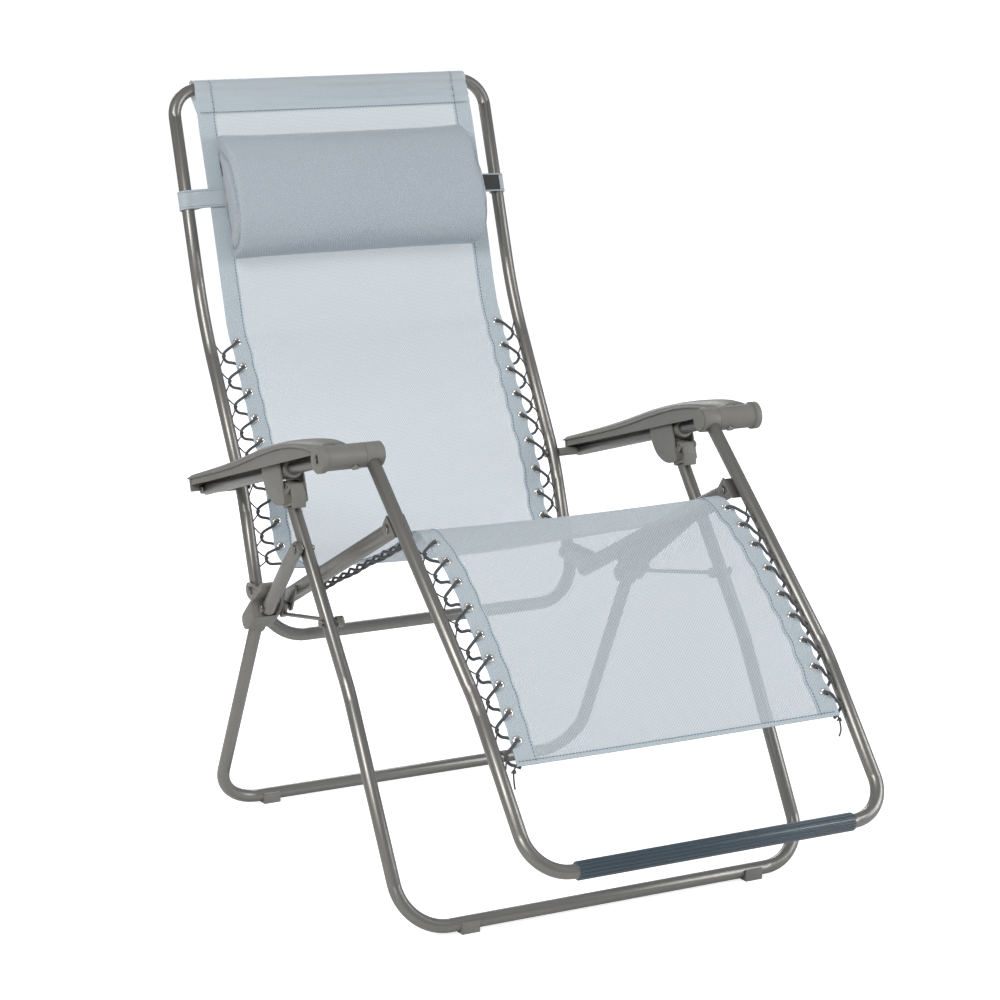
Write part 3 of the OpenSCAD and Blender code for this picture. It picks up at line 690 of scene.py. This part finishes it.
def fabric_grid(name, first, last, shares, material, lift=0.0):
    """Part of the sling between two points of its line, over a range of shares of the half width."""
    cells = [(i, share) for i in range(first, last + 1) for share in shares]
    points = [fabric_point(i, share, lift) for i, share in cells]
    uvs = [(share * SLING_HALF_MM / 1000, RUN[i]) for i, share in cells]
    return make(name, points, grid_faces(last - first + 1, len(shares)), material, uvs)


def meeting_index():
    """Where the two halves of the sling meet, on the seat."""
    goal = mm(0, MEETING_Y_MM, 0).y
    seat = [i for i in range(len(LINE)) if goal - 0.1 < LINE[i].y < goal + 0.1 and LINE[i].z < 0.47]
    return min(seat, key=lambda i: abs(LINE[i].y - goal))


MEET = meeting_index()
SHARES = [-1 + 2 * k / 72 for k in range(73)]
INNER = 1 - HEM_MM / SLING_HALF_MM


def bend_with_joint(piece, part):
    """Bakes the piece's place into its mesh, in the same way for the back and for the leg rest."""
    if part == "back":
        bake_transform(piece)
    else:
        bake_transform(piece)


def stitched(name, line, normal_at, length=0.0040, gap=0.0012, half=0.00062):
    """Thread stitches along a line. normal_at(i) is the direction out of the cloth at its points."""
    points, faces = [], []
    run = lengths_along(line)
    start, i = 0.0, 0
    while start + length < run[-1]:
        centre = start + length / 2
        while run[i + 1] < centre:
            i += 1
        along = (line[i + 1] - line[i]).normalized()
        middle = line[i] + along * (centre - run[i])
        normal = normal_at(i)
        across = along.cross(normal)
        base = len(points)
        for t, r in ((-0.5, 0.3), (-0.3, 1), (0.3, 1), (0.5, 0.3)):
            for k in range(6):
                angle = math.pi * k / 3
                points.append(middle + along * (t * length)
                              + (across * math.cos(angle) + normal * math.sin(angle)) * half * r)
        faces += [tuple(base + v for v in f) for f in tube_faces(4, 6)]
        start += length + gap
    return make(name, points, faces, "sewing_thread")


def side_seams(first, last, share, lift=0.0012):
    """A stitch line down each side of the fabric."""
    seams = []
    for side in (-1, 1):
        line = [fabric_point(i, side * share, lift) for i in range(first, last + 1)]
        seams.append(stitched("seam", line, lambda k: outward(first + k)))
    return seams


def cross_seam(i, half_share, lift):
    """A stitch line across the fabric."""
    line = [fabric_point(i, half_share * s, lift) for s in SHARES]
    return stitched("seam", line, lambda k: outward(i))


def make_sling():
    last = len(LINE) - 2  # the line's last point is left out
    hem_shares = [INNER + (1 - INNER) * k / 6 for k in range(7)]
    for part, first, end in (("back", 0, MEET), ("leg", MEET, last)):
        sheet = fabric_grid(f"{part}_mesh", first, end, SHARES, "sling_mesh")
        hems = []
        for lift in (-0.0009, 0.0009):
            for side in (-1, 1):
                shares = [side * s for s in hem_shares]
                hems.append(fabric_grid("hem", first, end, shares, "hem_mesh", lift))
            if part == "leg":
                hems.append(fabric_grid("hem", end - 1, end, SHARES, "hem_mesh", lift * 1.3))
        hem = joined(f"{part}_hems", hems)
        threads = side_seams(first, end, INNER + 0.012)
        if part == "leg":
            threads += [cross_seam(end - 1, 0.99, 0.0017)]
        thread = joined(f"{part}_stitching", threads)
        for piece in (sheet, hem, thread):
            bend_with_joint(piece, part)
        if part == "back":
            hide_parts("back_sling")
        else:
            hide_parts("leg_sling", "seat_sling")


make_sling()


# ---------- sleeve round the top bar ----------

BAR = mm(0, 927, 1117)
SLEEVE_R = 0.0132
SLEEVE_HALF_MM = 243
SLEEVE_SEAM_MM = 27.3
SLEEVE_HEM = 5
CREASE, CREASE_PITCH, CREASED_RUN = 0.0026, 0.0120, 0.045


def make_sleeve():
    """The fabric turned round the top bar and sewn to itself below, with soft creases along it."""
    hem = SLEEVE_HEM
    front = [LINE[i] + outward(i) * 0.0038 for i in range(hem, 0, -1)]
    arc = [BAR + SLEEVE_R * Vector((0, math.cos(a), math.sin(a)))
           for a in [math.radians(195 - 15 * k) for k in range(15)]]
    back = [LINE[i] - outward(i) * (0.0020 + 0.0030 * (hem - i)) for i in range(2, hem + 1)]
    line = smooth_path([*front, *arc, *back], 0.0026)
    run = lengths_along(line)
    columns = 90
    points, uvs = [], []
    for r, place in enumerate(line):
        ahead = heading(line, r)
        normal = Vector((0, -ahead.z, ahead.y)).normalized()
        creased = math.sin(math.pi * run[r] / CREASED_RUN) if run[r] < CREASED_RUN else 0.0
        half = (SLEEVE_HALF_MM + 1.5 * (1 - min(1.0, run[r] / 0.04))) / 1000
        for c in range(columns + 1):
            share = -1 + 2 * c / columns
            x = share * half
            drift = 2.2 * math.sin(6.1 * x) + 1.1 * math.sin(23 * x + 1)
            wave = math.sin(run[r] / CREASE_PITCH * 2 * math.pi + drift)
            crease = CREASE * creased * wave * (0.6 + 0.4 * math.sin(9 * x + 0.7))
            points.append(Vector((x, place.y, place.z)) - normal * crease)
            uvs.append((x, run[r]))
    sleeve = make("top_sleeve", points, grid_faces(len(line), columns + 1), "hem_mesh", uvs)
    seams = [cross_seam(hem, 0.985, 0.0046)]
    for side in (-1, 1):
        x = side * (SLEEVE_HALF_MM - SLEEVE_SEAM_MM) / 1000
        path = [Vector((x, p.y - 0.0012, p.z)) for p in line[:22]]
        seams.append(stitched("seam", path, lambda k: Vector((0, -0.95, 0.3))))
    thread = joined("sleeve_stitching", seams)
    for piece in (sleeve, thread):
        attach(piece, "back")


make_sleeve()


# ---------- eyelets and lacing ----------

EYELET_RIM = [(0.0015, 0.0034), (0.0022, 0.0040), (0.0025, 0.0052), (0.0021, 0.0064), (0.0012, 0.0070)]
EYELET_PROFILE = [(-a, r) for a, r in EYELET_RIM] + EYELET_RIM[::-1] + [(0.0, 0.0031)]
ELASTIC_R, THIN_R, STRAND_R, TAIL_R = 0.0023, 0.00115, 0.0021, 0.0013
# How far below an eyelet, along the fabric, the two cords hook into each other
CROSSING_RUN = 0.020
# Side views of the tubes beside the fabric, and their distance from the middle
TUBE_SIDES = {"back": ([(927, 1116), (815, 765), (673, 518), (597, 292)], 278),
              "leg": ([(200, 645), (-111, 368), (-274, 170)], 283)}


def ring(name, profile, place, along, material, sides=24):
    """A closed ring turned round an axis: the profile's last point joins its first."""
    u = along.orthogonal().normalized()
    w = along.cross(u)
    points = []
    for distance, radius in profile:
        points += circle(place + along * distance, radius, u, w, sides)
    rows = len(profile)
    faces = []
    for i in range(rows):
        for k in range(sides):
            j = (k + 1) % sides
            n = (i + 1) % rows
            faces.append((i * sides + k, i * sides + j, n * sides + j, n * sides + k))
    return make(name, points, faces, material)


def beside_tube(part, place, inward_mm):
    """The point at the inner side of the tube that is nearest to a place."""
    side_view, x_mm = TUBE_SIDES[part]
    flat = Vector((0, place.y, place.z))
    near = []
    for a, b in zip(side_view, side_view[1:]):
        a, b = mm(0, *a), mm(0, *b)
        t = max(0, min(1, (flat - a).dot(b - a) / (b - a).length_squared))
        near.append(a + (b - a) * t)
    best = min(near, key=lambda p: (p - flat).length)
    side = -1 if place.x < 0 else 1
    return Vector((side * (x_mm - inward_mm) / 1000, best.y, best.z))


def crossing(part, side, run):
    """Where the elastic and the thin cord hook into each other, between the fabric and the tube."""
    edge = on_fabric(run, side * 247)
    tube = beside_tube(part, edge, 11)
    return edge.lerp(tube, 0.56)


def hook(part, side, run):
    """The crossing below an eyelet, with the directions out, down the fabric and to the front."""
    cross = crossing(part, side, run + CROSSING_RUN)
    i = nearest_index(cross)
    return cross, X * side, along_at(i), outward(i)


def elastic_route(part, side):
    """Out through each eyelet, over the edge to a crossing, and back in behind the fabric."""
    route = []
    runs = [RUN[i] for i in EYELETS[part]]
    for run in runs:
        cross, out, step, front = hook(part, side, run)
        route += [
            on_fabric(run - 0.001, side * 232.5, -5.0),
            on_fabric(run, side * 233, -1.0),
            on_fabric(run + 0.0005, side * 233.6, 3.4),
            on_fabric(run + 0.006, side * 240, 5.2),
            cross - out * 0.004 - step * 0.007 + front * 0.0026,
            cross + out * 0.0012 - step * 0.0015 + front * 0.0012,
            cross + out * 0.0012 + step * 0.0035 - front * 0.0012,
            cross - out * 0.0040 + step * 0.0095 - front * 0.0032,
            on_fabric(run + 0.0335, side * 244, -4.6),
            on_fabric(run + 0.0375, side * 237, -5.0),
        ]
    return route[1:]


def thin_route(part, side):
    """The thin cord's zigzag between the tube and the crossings."""
    route = []
    runs = [RUN[i] for i in EYELETS[part]]
    for run in runs:
        cross, out, step, front = hook(part, side, run)
        route += [
            beside_tube(part, on_fabric(run - 0.001, side * 250), 8.5),
            cross + out * 0.0036 - step * 0.0062 - front * 0.0020,
            cross - out * 0.0016 + front * 0.0012,
            cross + out * 0.0034 + step * 0.0064 + front * 0.0020,
        ]
    route.append(beside_tube(part, on_fabric(runs[-1] + 0.040, side * 250), 8.5))
    return route


def loose_end(part, side):
    """The knotted tail of the elastic below the last eyelet."""
    run = RUN[EYELETS[part][-1]]
    start = on_fabric(run + 0.0335, side * 243, -4)
    knot = start + Vector((side * 0.004, 0, -0.008))
    tail = smooth_path([start, knot, knot + Vector((side * 0.001, -0.003, -0.014)),
                        knot + Vector((side * -0.001, -0.002, -0.024))], 0.003)
    turns = [knot + Vector((0.0024 * math.cos(a), 0.0024 * math.sin(a), 0.0016 * math.sin(2 * a)))
             for a in [math.radians(20 * k) for k in range(19)]]
    return [swept("tail", tail, TAIL_R, "elastic_cord", 8), swept("knot", turns, TAIL_R, "elastic_cord", 8)]


def make_lacing():
    """The eyelets, and both cords on each side of the back and the leg rest."""
    for part in ("back", "leg"):
        rings = []
        for side in (-1, 1):
            for i in EYELETS[part]:
                place = on_fabric(RUN[i], side * EYELET_X_MM)
                rings.append(ring("eyelet", EYELET_PROFILE, place, outward(i), "eyelet_metal"))
        settle(joined(f"{part}_eyelet_rings", rings), f"{part}_eyelets")
        for name, side in SIDES.items():
            elastic = smooth_path(elastic_route(part, side), 0.0022)
            thin = smooth_path(thin_route(part, side), 0.0035)
            cords = [swept("elastic", elastic, ELASTIC_R, "elastic_cord", 10),
                     swept("thin", thin, THIN_R, "elastic_cord", 8)]
            if part == "leg":
                cords += loose_end(part, side)
            settle(joined(f"{part}_elastic_{name}", cords), f"{part}_lacing_{name}")


make_lacing()


SEAT_ELASTIC_TURNS = 3.5


def make_seat_elastics():
    """Three strands twisted together along the inner side of each seat tube."""
    for name in SIDES:
        node = f"seat_elastic_{name}"
        low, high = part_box(node)
        x = (low[0] + high[0]) / 2
        rear = Vector((x, high[1] - 0.002, low[2] + 0.005))
        front = Vector((x, low[1] + 0.002, high[2] - 0.005))
        up = Vector((0, (front - rear).z, -(front - rear).y)).normalized()
        strands = []
        for first_turn in (0, 1 / 3, 2 / 3):
            line = []
            for k in range(201):
                t = k / 200
                angle = 2 * math.pi * (first_turn + SEAT_ELASTIC_TURNS * t)
                swing = 0.0034 + 0.0014 * math.sin(3 * t * math.pi + 1) ** 2
                line.append(rear.lerp(front, t) + swing * (up * math.sin(angle) + X * math.cos(angle)))
            strands.append(swept("strand", line, STRAND_R, "elastic_cord", 8))
        settle(joined(f"{node}_twisted", strands), node)


make_seat_elastics()


# ---------- pillow and straps ----------

PILLOW_LOW, PILLOW_TOP = mm(0, 829, 846), mm(0, 891, 1045)
PILLOW_HALF = 0.2205
PILLOW_SHIFT = -0.0065
PILLOW_DEPTH = 0.068
PILLOW_SWELL, SWELL_FRAMES = 0.0045, 20
PILLOW_PIPING_R = 0.0021


def pillow_section():
    """Outline of the pillow's end in the side view: flat behind, round in front."""
    up = (PILLOW_TOP - PILLOW_LOW).normalized()
    out = Vector((0, -up.z, up.y))
    tall = (PILLOW_TOP - PILLOW_LOW).length
    middle = (PILLOW_LOW + PILLOW_TOP) / 2
    outline = []
    for k in range(40):
        angle = math.radians(-90 + 180 * k / 39)
        outline.append(middle + up * (tall / 2 - 0.002) * math.sin(angle)
                       + out * (0.008 + (PILLOW_DEPTH - 0.010) * (1 - 0.16 * math.sin(angle))
                                * max(0.0, math.cos(angle)) ** 0.72))
    for k in range(1, 12):
        share = k / 12
        outline.append(middle + up * (tall / 2 - 0.004) * (1 - 2 * share) + out * 0.0035)
    return outline, up, out, middle


def make_pillow():
    """The pillow's shell, blown up a little, with piping round each end."""
    outline, up, out, middle = pillow_section()
    rows = [(-1.0, 0.96), (-0.992, 0.995)] + [(-0.97 + 1.94 * k / 30, 1.0) for k in range(31)]
    rows += [(0.992, 0.995), (1.0, 0.96)]
    points = []
    for share, scale in rows:
        for p in outline:
            q = middle + out * 0.02
            points.append(q + (p - q) * scale + X * (share * PILLOW_HALF + PILLOW_SHIFT))
    pillow = make("pillow", points, tube_faces(len(rows), len(outline)), "pillow_fabric")
    remesh = pillow.modifiers.new("remesh", "REMESH")
    remesh.mode = "VOXEL"
    remesh.voxel_size = 0.005
    remesh.use_smooth_shade = True
    apply_modifiers(pillow)
    swell(pillow, out, middle)
    smooth = pillow.modifiers.new("smooth", "SUBSURF")
    smooth.levels = smooth.render_levels = 1
    apply_modifiers(pillow)
    pillow.data.polygons.foreach_set("use_smooth", [True] * len(pillow.data.polygons))
    if not pillow.data.materials:
        pillow.data.materials.append(MATERIALS["pillow_fabric"])
    settle(pillow, "head_pillow")
    seams = []
    tree = BVHTree.FromObject(pillow, bpy.context.evaluated_depsgraph_get())
    for side in (-1, 1):
        x = side * (PILLOW_HALF - 0.0012) + PILLOW_SHIFT
        core = Vector((x, middle.y, middle.z)) + out * 0.022
        line = []
        for k in range(73):
            angle = 2 * math.pi * k / 72
            way = (up * math.cos(angle) + out * math.sin(angle)).normalized()
            hit = tree.ray_cast(core + way * 0.2, -way)[0]
            if hit is not None:
                line.append(hit + way * 0.0004)
        seams.append(swept("piping", line, PILLOW_PIPING_R, "hem_mesh", 8))
    settle_on(joined("pillow_piping", seams), "back")


def swell(pillow, out, middle):
    """Blows the pillow up as cloth, without letting it pass the sling behind it."""
    start = np.array([v.co for v in pillow.data.vertices])
    cloth = pillow.modifiers.new("cloth", "CLOTH")
    cloth.settings.use_pressure = True
    cloth.settings.uniform_pressure_force = 4
    cloth.settings.effector_weights.gravity = 0
    cloth.settings.quality = 5
    cloth.point_cache.frame_start, cloth.point_cache.frame_end = 1, SWELL_FRAMES
    scene = bpy.context.scene
    for number in range(1, SWELL_FRAMES + 1):
        scene.frame_set(number)
    apply_modifiers(pillow)
    scene.frame_set(1)
    now = np.array([v.co for v in pillow.data.vertices])
    move = now - start
    length = np.linalg.norm(move, axis=1, keepdims=True)
    now = start + move * np.minimum(1, PILLOW_SWELL / np.maximum(length, 1e-9))
    behind = (now - np.array(middle)) @ np.array(out)
    now += np.outer(np.maximum(0.0025 - behind, 0), np.array(out))
    pillow.data.vertices.foreach_set("co", now.ravel())
    pillow.data.update()


make_pillow()


# Across the strap: share of its half width, and share of its thickness, with a raised edge each side
STRAP_SECTION = [(-1, -1), (-1, 1), (-0.86, 1.35), (-0.72, 1), (0, 1), (0.72, 1), (0.86, 1.35),
                 (1, 1), (1, -1)]
STRAP_HALF, STRAP_THICK = 0.0150, 0.0008
TAB_HALF = 0.0125


def make_straps():
    """Flat straps from the pillow's ends round the side tubes, sewn back on themselves."""
    up = (mm(0, 927, 1116) - mm(0, 815, 765)).normalized()
    front = Vector((0, -up.z, up.y))
    for name, side in SIDES.items():
        node = f"pillow_strap_{name}"
        centre = Vector((side * 0.278, mm(0, 873, 0).y, 0.945))
        inward = X * -side
        loop = [(0.0600, 0.0165), (0.045, 0.0162), (0.030, 0.0152), (0.016, 0.0140), (0.006, 0.0125)]
        loop += [(0.0121 * math.cos(a), 0.0121 * math.sin(a)) for a in
                 [math.radians(90 + 22.5 * k) for k in range(10)]]
        loop += [(0.0165, 0.004), (0.020, 0.0105), (0.030, 0.0133), (0.041, 0.0143)]
        line = smooth_path([centre + inward * a + front * b for a, b in loop], 0.0025)
        run = lengths_along(line)
        points, uvs = [], []
        for i, place in enumerate(line):
            out = heading(line, i).cross(up) * side
            for a, b in STRAP_SECTION:
                points.append(place + up * (STRAP_HALF * a) + out * (STRAP_THICK * b))
                uvs.append((run[i], STRAP_HALF * a))
        strap = make("strap", points, tube_faces(len(line), len(STRAP_SECTION)), "hem_mesh", uvs)
        seams = []
        for edge in (-0.78, 0.78):
            path = [place + up * (STRAP_HALF * edge) + heading(line, i).cross(up) * side * 0.0011
                    for i, place in enumerate(line)]
            seams.append(stitched("seam", path, lambda k: front, 0.003, 0.001, 0.0004))
        settle(joined(f"{node}_band", [strap, *seams]), node)
        if name == "right":
            settle_on(make_tab(line, up, side), "back")


def make_tab(line, up, side):
    """A plain dark woven tab sewn over the strap."""
    points = []
    part = line[2:25]
    for i, place in enumerate(part):
        out = heading(part, i).cross(up) * side
        for a, b in ((-1, 0.0009), (-1, 0.0017), (1, 0.0017), (1, 0.0009)):
            points.append(place + up * (TAB_HALF * a) + out * b)
    return bevelled(make("strap_tab", points, tube_faces(len(part), 4), "recess_shade_and_dark_tab"), 0.0003)


make_straps()


# ---------- armrest pads ----------

ARM_FRONT, ARM_REAR = mm(0, 208, 652), mm(0, 677, 521)
ARM_ALONG = (ARM_REAR - ARM_FRONT).normalized()
ARM_UP = Vector((0, -ARM_ALONG.z, ARM_ALONG.y))
PAD_X, PAD_HALF, PAD_EDGE, PAD_REAR = 334, 27, 8.5, 497
# Distance along the arm, height of the crown, height of the side wall under the lid
PAD_SHAPE = [(6, 23, 1.5), (16, 26, 2), (30, 29.5, 5), (50, 32.4, 10.5), (75, 35, 15), (105, 37.5, 18.8),
             (140, 39.3, 20.3), (180, 39.8, 19.4), (225, 39, 17), (270, 35.7, 13.6), (320, 32.2, 10.8),
             (375, 29.6, 9.7), (430, 27.8, 9.6), (475, 26.5, 9.8), (PAD_REAR, 26, 10)]


def in_arm(x, s, h):
    """A place beside an arm: across, along the tube from the front, and above its middle, in mm."""
    return ARM_FRONT + X * (x / 1000) + ARM_ALONG * (s / 1000) + ARM_UP * (h / 1000)


def pad_station(s):
    """Outline across the pad at one place along it: over the lid, and back through the hollow."""
    stations, crowns, walls = zip(*PAD_SHAPE)
    crown = float(np.interp(s, stations, crowns))
    wall = float(np.interp(s, stations, walls))
    lid = min(PAD_EDGE + wall, crown - 4.5)
    half = PAD_HALF - 5 * max(0, (30 - s) / 30) ** 2 - 2.5 * max(0, (s - PAD_REAR + 18) / 18) ** 2
    over = [(-half + 1.2, PAD_EDGE), (-half + 2.4, lid - 2.2), (-half + 2.9, lid - 0.2), (-half, lid + 0.2),
            (-half, lid + 1.8), (-half + 0.5, lid + 2.9), (-half + 1.6, lid + 3.7)]
    rise = max(0.2, crown - lid - 3.7)
    for k in range(1, 12):
        angle = math.pi * k / 12
        over.append((-(half - 1.6) * math.cos(angle), lid + 3.7 + rise * math.sin(angle) ** 0.8))
    over += [(-x, h) for x, h in reversed(over[:7])]
    under = [(half - 3.0, PAD_EDGE), (half - 3.2, max(PAD_EDGE + 0.3, lid - 2.5)),
             (half - 6, lid + 0.6), (0, crown - 3.2)]
    under += [(-x, h) for x, h in reversed(under[:3])]
    return over + under


def make_pads():
    """The armrest shells, with the end walls and ribs under them."""
    stops = sorted({6, 10, 16, 22, *range(30, PAD_REAR - 6, 8), *range(PAD_REAR - 4, PAD_REAR + 1)})
    for name, side in SIDES.items():
        points = [in_arm(side * (PAD_X + x), s, h) for s in stops for x, h in pad_station(s)]
        count = len(pad_station(100))
        pad = make("pad", points, tube_faces(len(stops), count), "taupe_plastic")
        sharpen(pad, 32)
        shell = [pad, plate(side, -25.5, 25.5, PAD_REAR - 4, PAD_REAR - 0.5, -1.5, 22),
                 plate(side, -26.5, 26.5, PAD_REAR - 1, PAD_REAR + 5, 18.6, 21)]
        shell += [plate(side, x, x + 2, 470, PAD_REAR - 4, 9.7, 22) for x in (-17, 15)]
        shell += [plate(side, -23, 23, s, s + 2, 9.7, 21) for s in (468, 452)]
        settle(joined(f"arm_pad_{name}_shell", shell), f"arm_pad_{name}")


def plate(side, x_low, x_high, s_low, s_high, h_low, h_high):
    """A small moulded plate in the arm's frame."""
    points = [in_arm(side * (PAD_X + x), s, h) for x in (x_low, x_high) for s in (s_low, s_high)
              for h in (h_low, h_high)]
    faces = [(0, 1, 3, 2), (4, 6, 7, 5), (0, 4, 5, 1), (2, 3, 7, 6), (0, 2, 6, 4), (1, 5, 7, 3)]
    return bevelled(make("plate", points, faces, "taupe_plastic"), 0.0006)


make_pads()


# Distance along the axis and radius, in metres
RECESS = [(0, 0.0062), (0.0016, 0.0062), (0.0016, 0.0048), (0.0004, 0.0048)]
RECESS_RIM = [(0, 0.0070), (0.0018, 0.0070), (0.0024, 0.0078), (0.0018, 0.0088), (0, 0.0090)]
BOSS = [(0, 0.0052), (-0.0035, 0.0052), (-0.0045, 0.0044), (-0.0045, 0.0034), (0, 0.0032)]


def make_arm_details():
    """Each housing's six-sided recess, painted near black as shade, with its rim, and a round boss lower
    down.
    """
    for name, side in SIDES.items():
        # The recess is painted near black: painted shade inside the hollow.
        hexagon = turned("recess", RECESS, in_arm(side * 363.2, 0, 0), "recess_shade_and_dark_tab", X * side, 6)
        rim = ring("rim", RECESS_RIM, in_arm(side * 363.4, 0, 0), X * side, "taupe_plastic", 6)
        boss = ring("boss", BOSS, in_arm(side * 312, -9, -15.5), ARM_UP, "taupe_plastic", 24)
        details = joined(f"housing_recess_{name}", [hexagon, rim, boss])
        settle_on(details, BODY_OF[f"arm_housing_{name}"])


make_arm_details()


# ---------- link bars ----------

LINK_TOP, LINK_LOW = mm(349, 314, 500), mm(325, 472, 376)


def make_link_bars():
    """Stay tubes, pressed flat and rounded at the upper end, domed at the lower end."""
    for name, side in SIDES.items():
        top = Vector((side * LINK_TOP.x, LINK_TOP.y, LINK_TOP.z))
        low = Vector((side * LINK_LOW.x, LINK_LOW.y, LINK_LOW.z))
        flat_run = Vector((0, (low - top).y, (low - top).z))
        run = flat_run.length
        along = flat_run.normalized()
        wide = Vector((0, along.z, -along.y))
        # distance from the upper pivot, half thickness across, half width, place between the pivots
        rows = []
        for k in range(9):
            angle = math.radians(90 - 10 * k)
            rows.append((-0.0125 * math.sin(angle), 0.0052, max(0.0012, 0.0118 * math.cos(angle)), 0.0))
        for s, t, w in ((0.004, 0.0052, 0.0120), (0.012, 0.0053, 0.0122), (0.022, 0.0058, 0.0122),
                        (0.032, 0.0069, 0.0120), (0.042, 0.0085, 0.0116), (0.052, 0.0099, 0.0112),
                        (0.064, 0.0106, 0.0110), (0.080, 0.0108, 0.0108)):
            rows.append((s, t, w, max(0.0, (s - 0.018) / (run - 0.018))))
        for k in range(1, 9):
            s = 0.080 + (run - 0.082) * k / 8
            rows.append((s, 0.0108, 0.0108, (s - 0.018) / (run - 0.018)))
        for k in range(1, 9):
            angle = math.radians(11 * k)
            rows.append((run - 0.002 + 0.0122 * math.sin(angle), 0.0108 * math.cos(angle) ** 0.45,
                         0.0112 * math.cos(angle) ** 0.6, 1.0))
        sides = 32
        points = []
        for s, t, w, share in rows:
            centre = top + along * s + X * ((low - top).x * min(1, share))
            power = 0.5 if t < 0.0060 else 0.8 if t < 0.0090 else 1.0
            for k in range(sides):
                angle = 2 * math.pi * k / sides
                c, d = math.cos(angle), math.sin(angle)
                points.append(centre + X * (t * math.copysign(abs(c) ** power, c)) + wide * (w * d))
        bar = make(f"link_bar_{name}_tube", points, tube_faces(len(rows), sides), "frame_paint")
        sharpen(bar, 50)
        settle(bar, f"link_bar_{name}")


make_link_bars()


# ---------- the other hard parts, with rounded edges ----------

EDGE_WIDTHS = {
    "front_leg_frame": 0.0004, "rear_leg_frame": 0.0004, "back_frame": 0.0003, "leg_rest_frame": 0.0004,
    "front_feet": 0.0010, "rear_feet": 0.0010, "foot_sleeve": 0.0004, "seat_lugs": 0.0006,
    "stand_bolts": 0.0011, "pivot_pins": 0.0010, "rear_hinge_rivets": 0.0012, "front_hinge_rivets": 0.0012,
    "arm_pivot_bolts": 0.0012, "housing_screws": 0.0005, "lever_pins": 0.0006, "arm_spacers": 0.0006,
}
SIDED_WIDTHS = {
    "seat_tube": 0.0004, "leg_socket": 0.0010, "tie_rod": 0.0005, "rear_bracket": 0.0012,
    "rear_gussets": 0.0007, "front_gussets": 0.0006, "frame_cap": 0.0015, "arm_tube": 0.0003,
    "arm_housing": 0.0013, "carriage": 0.0009, "lock_lever": 0.0012,
}
for plain_name, edge in EDGE_WIDTHS.items():
    finished(plain_name, edge)
for plain_name, edge in SIDED_WIDTHS.items():
    for side_name in SIDES:
        finished(f"{plain_name}_{side_name}", edge)
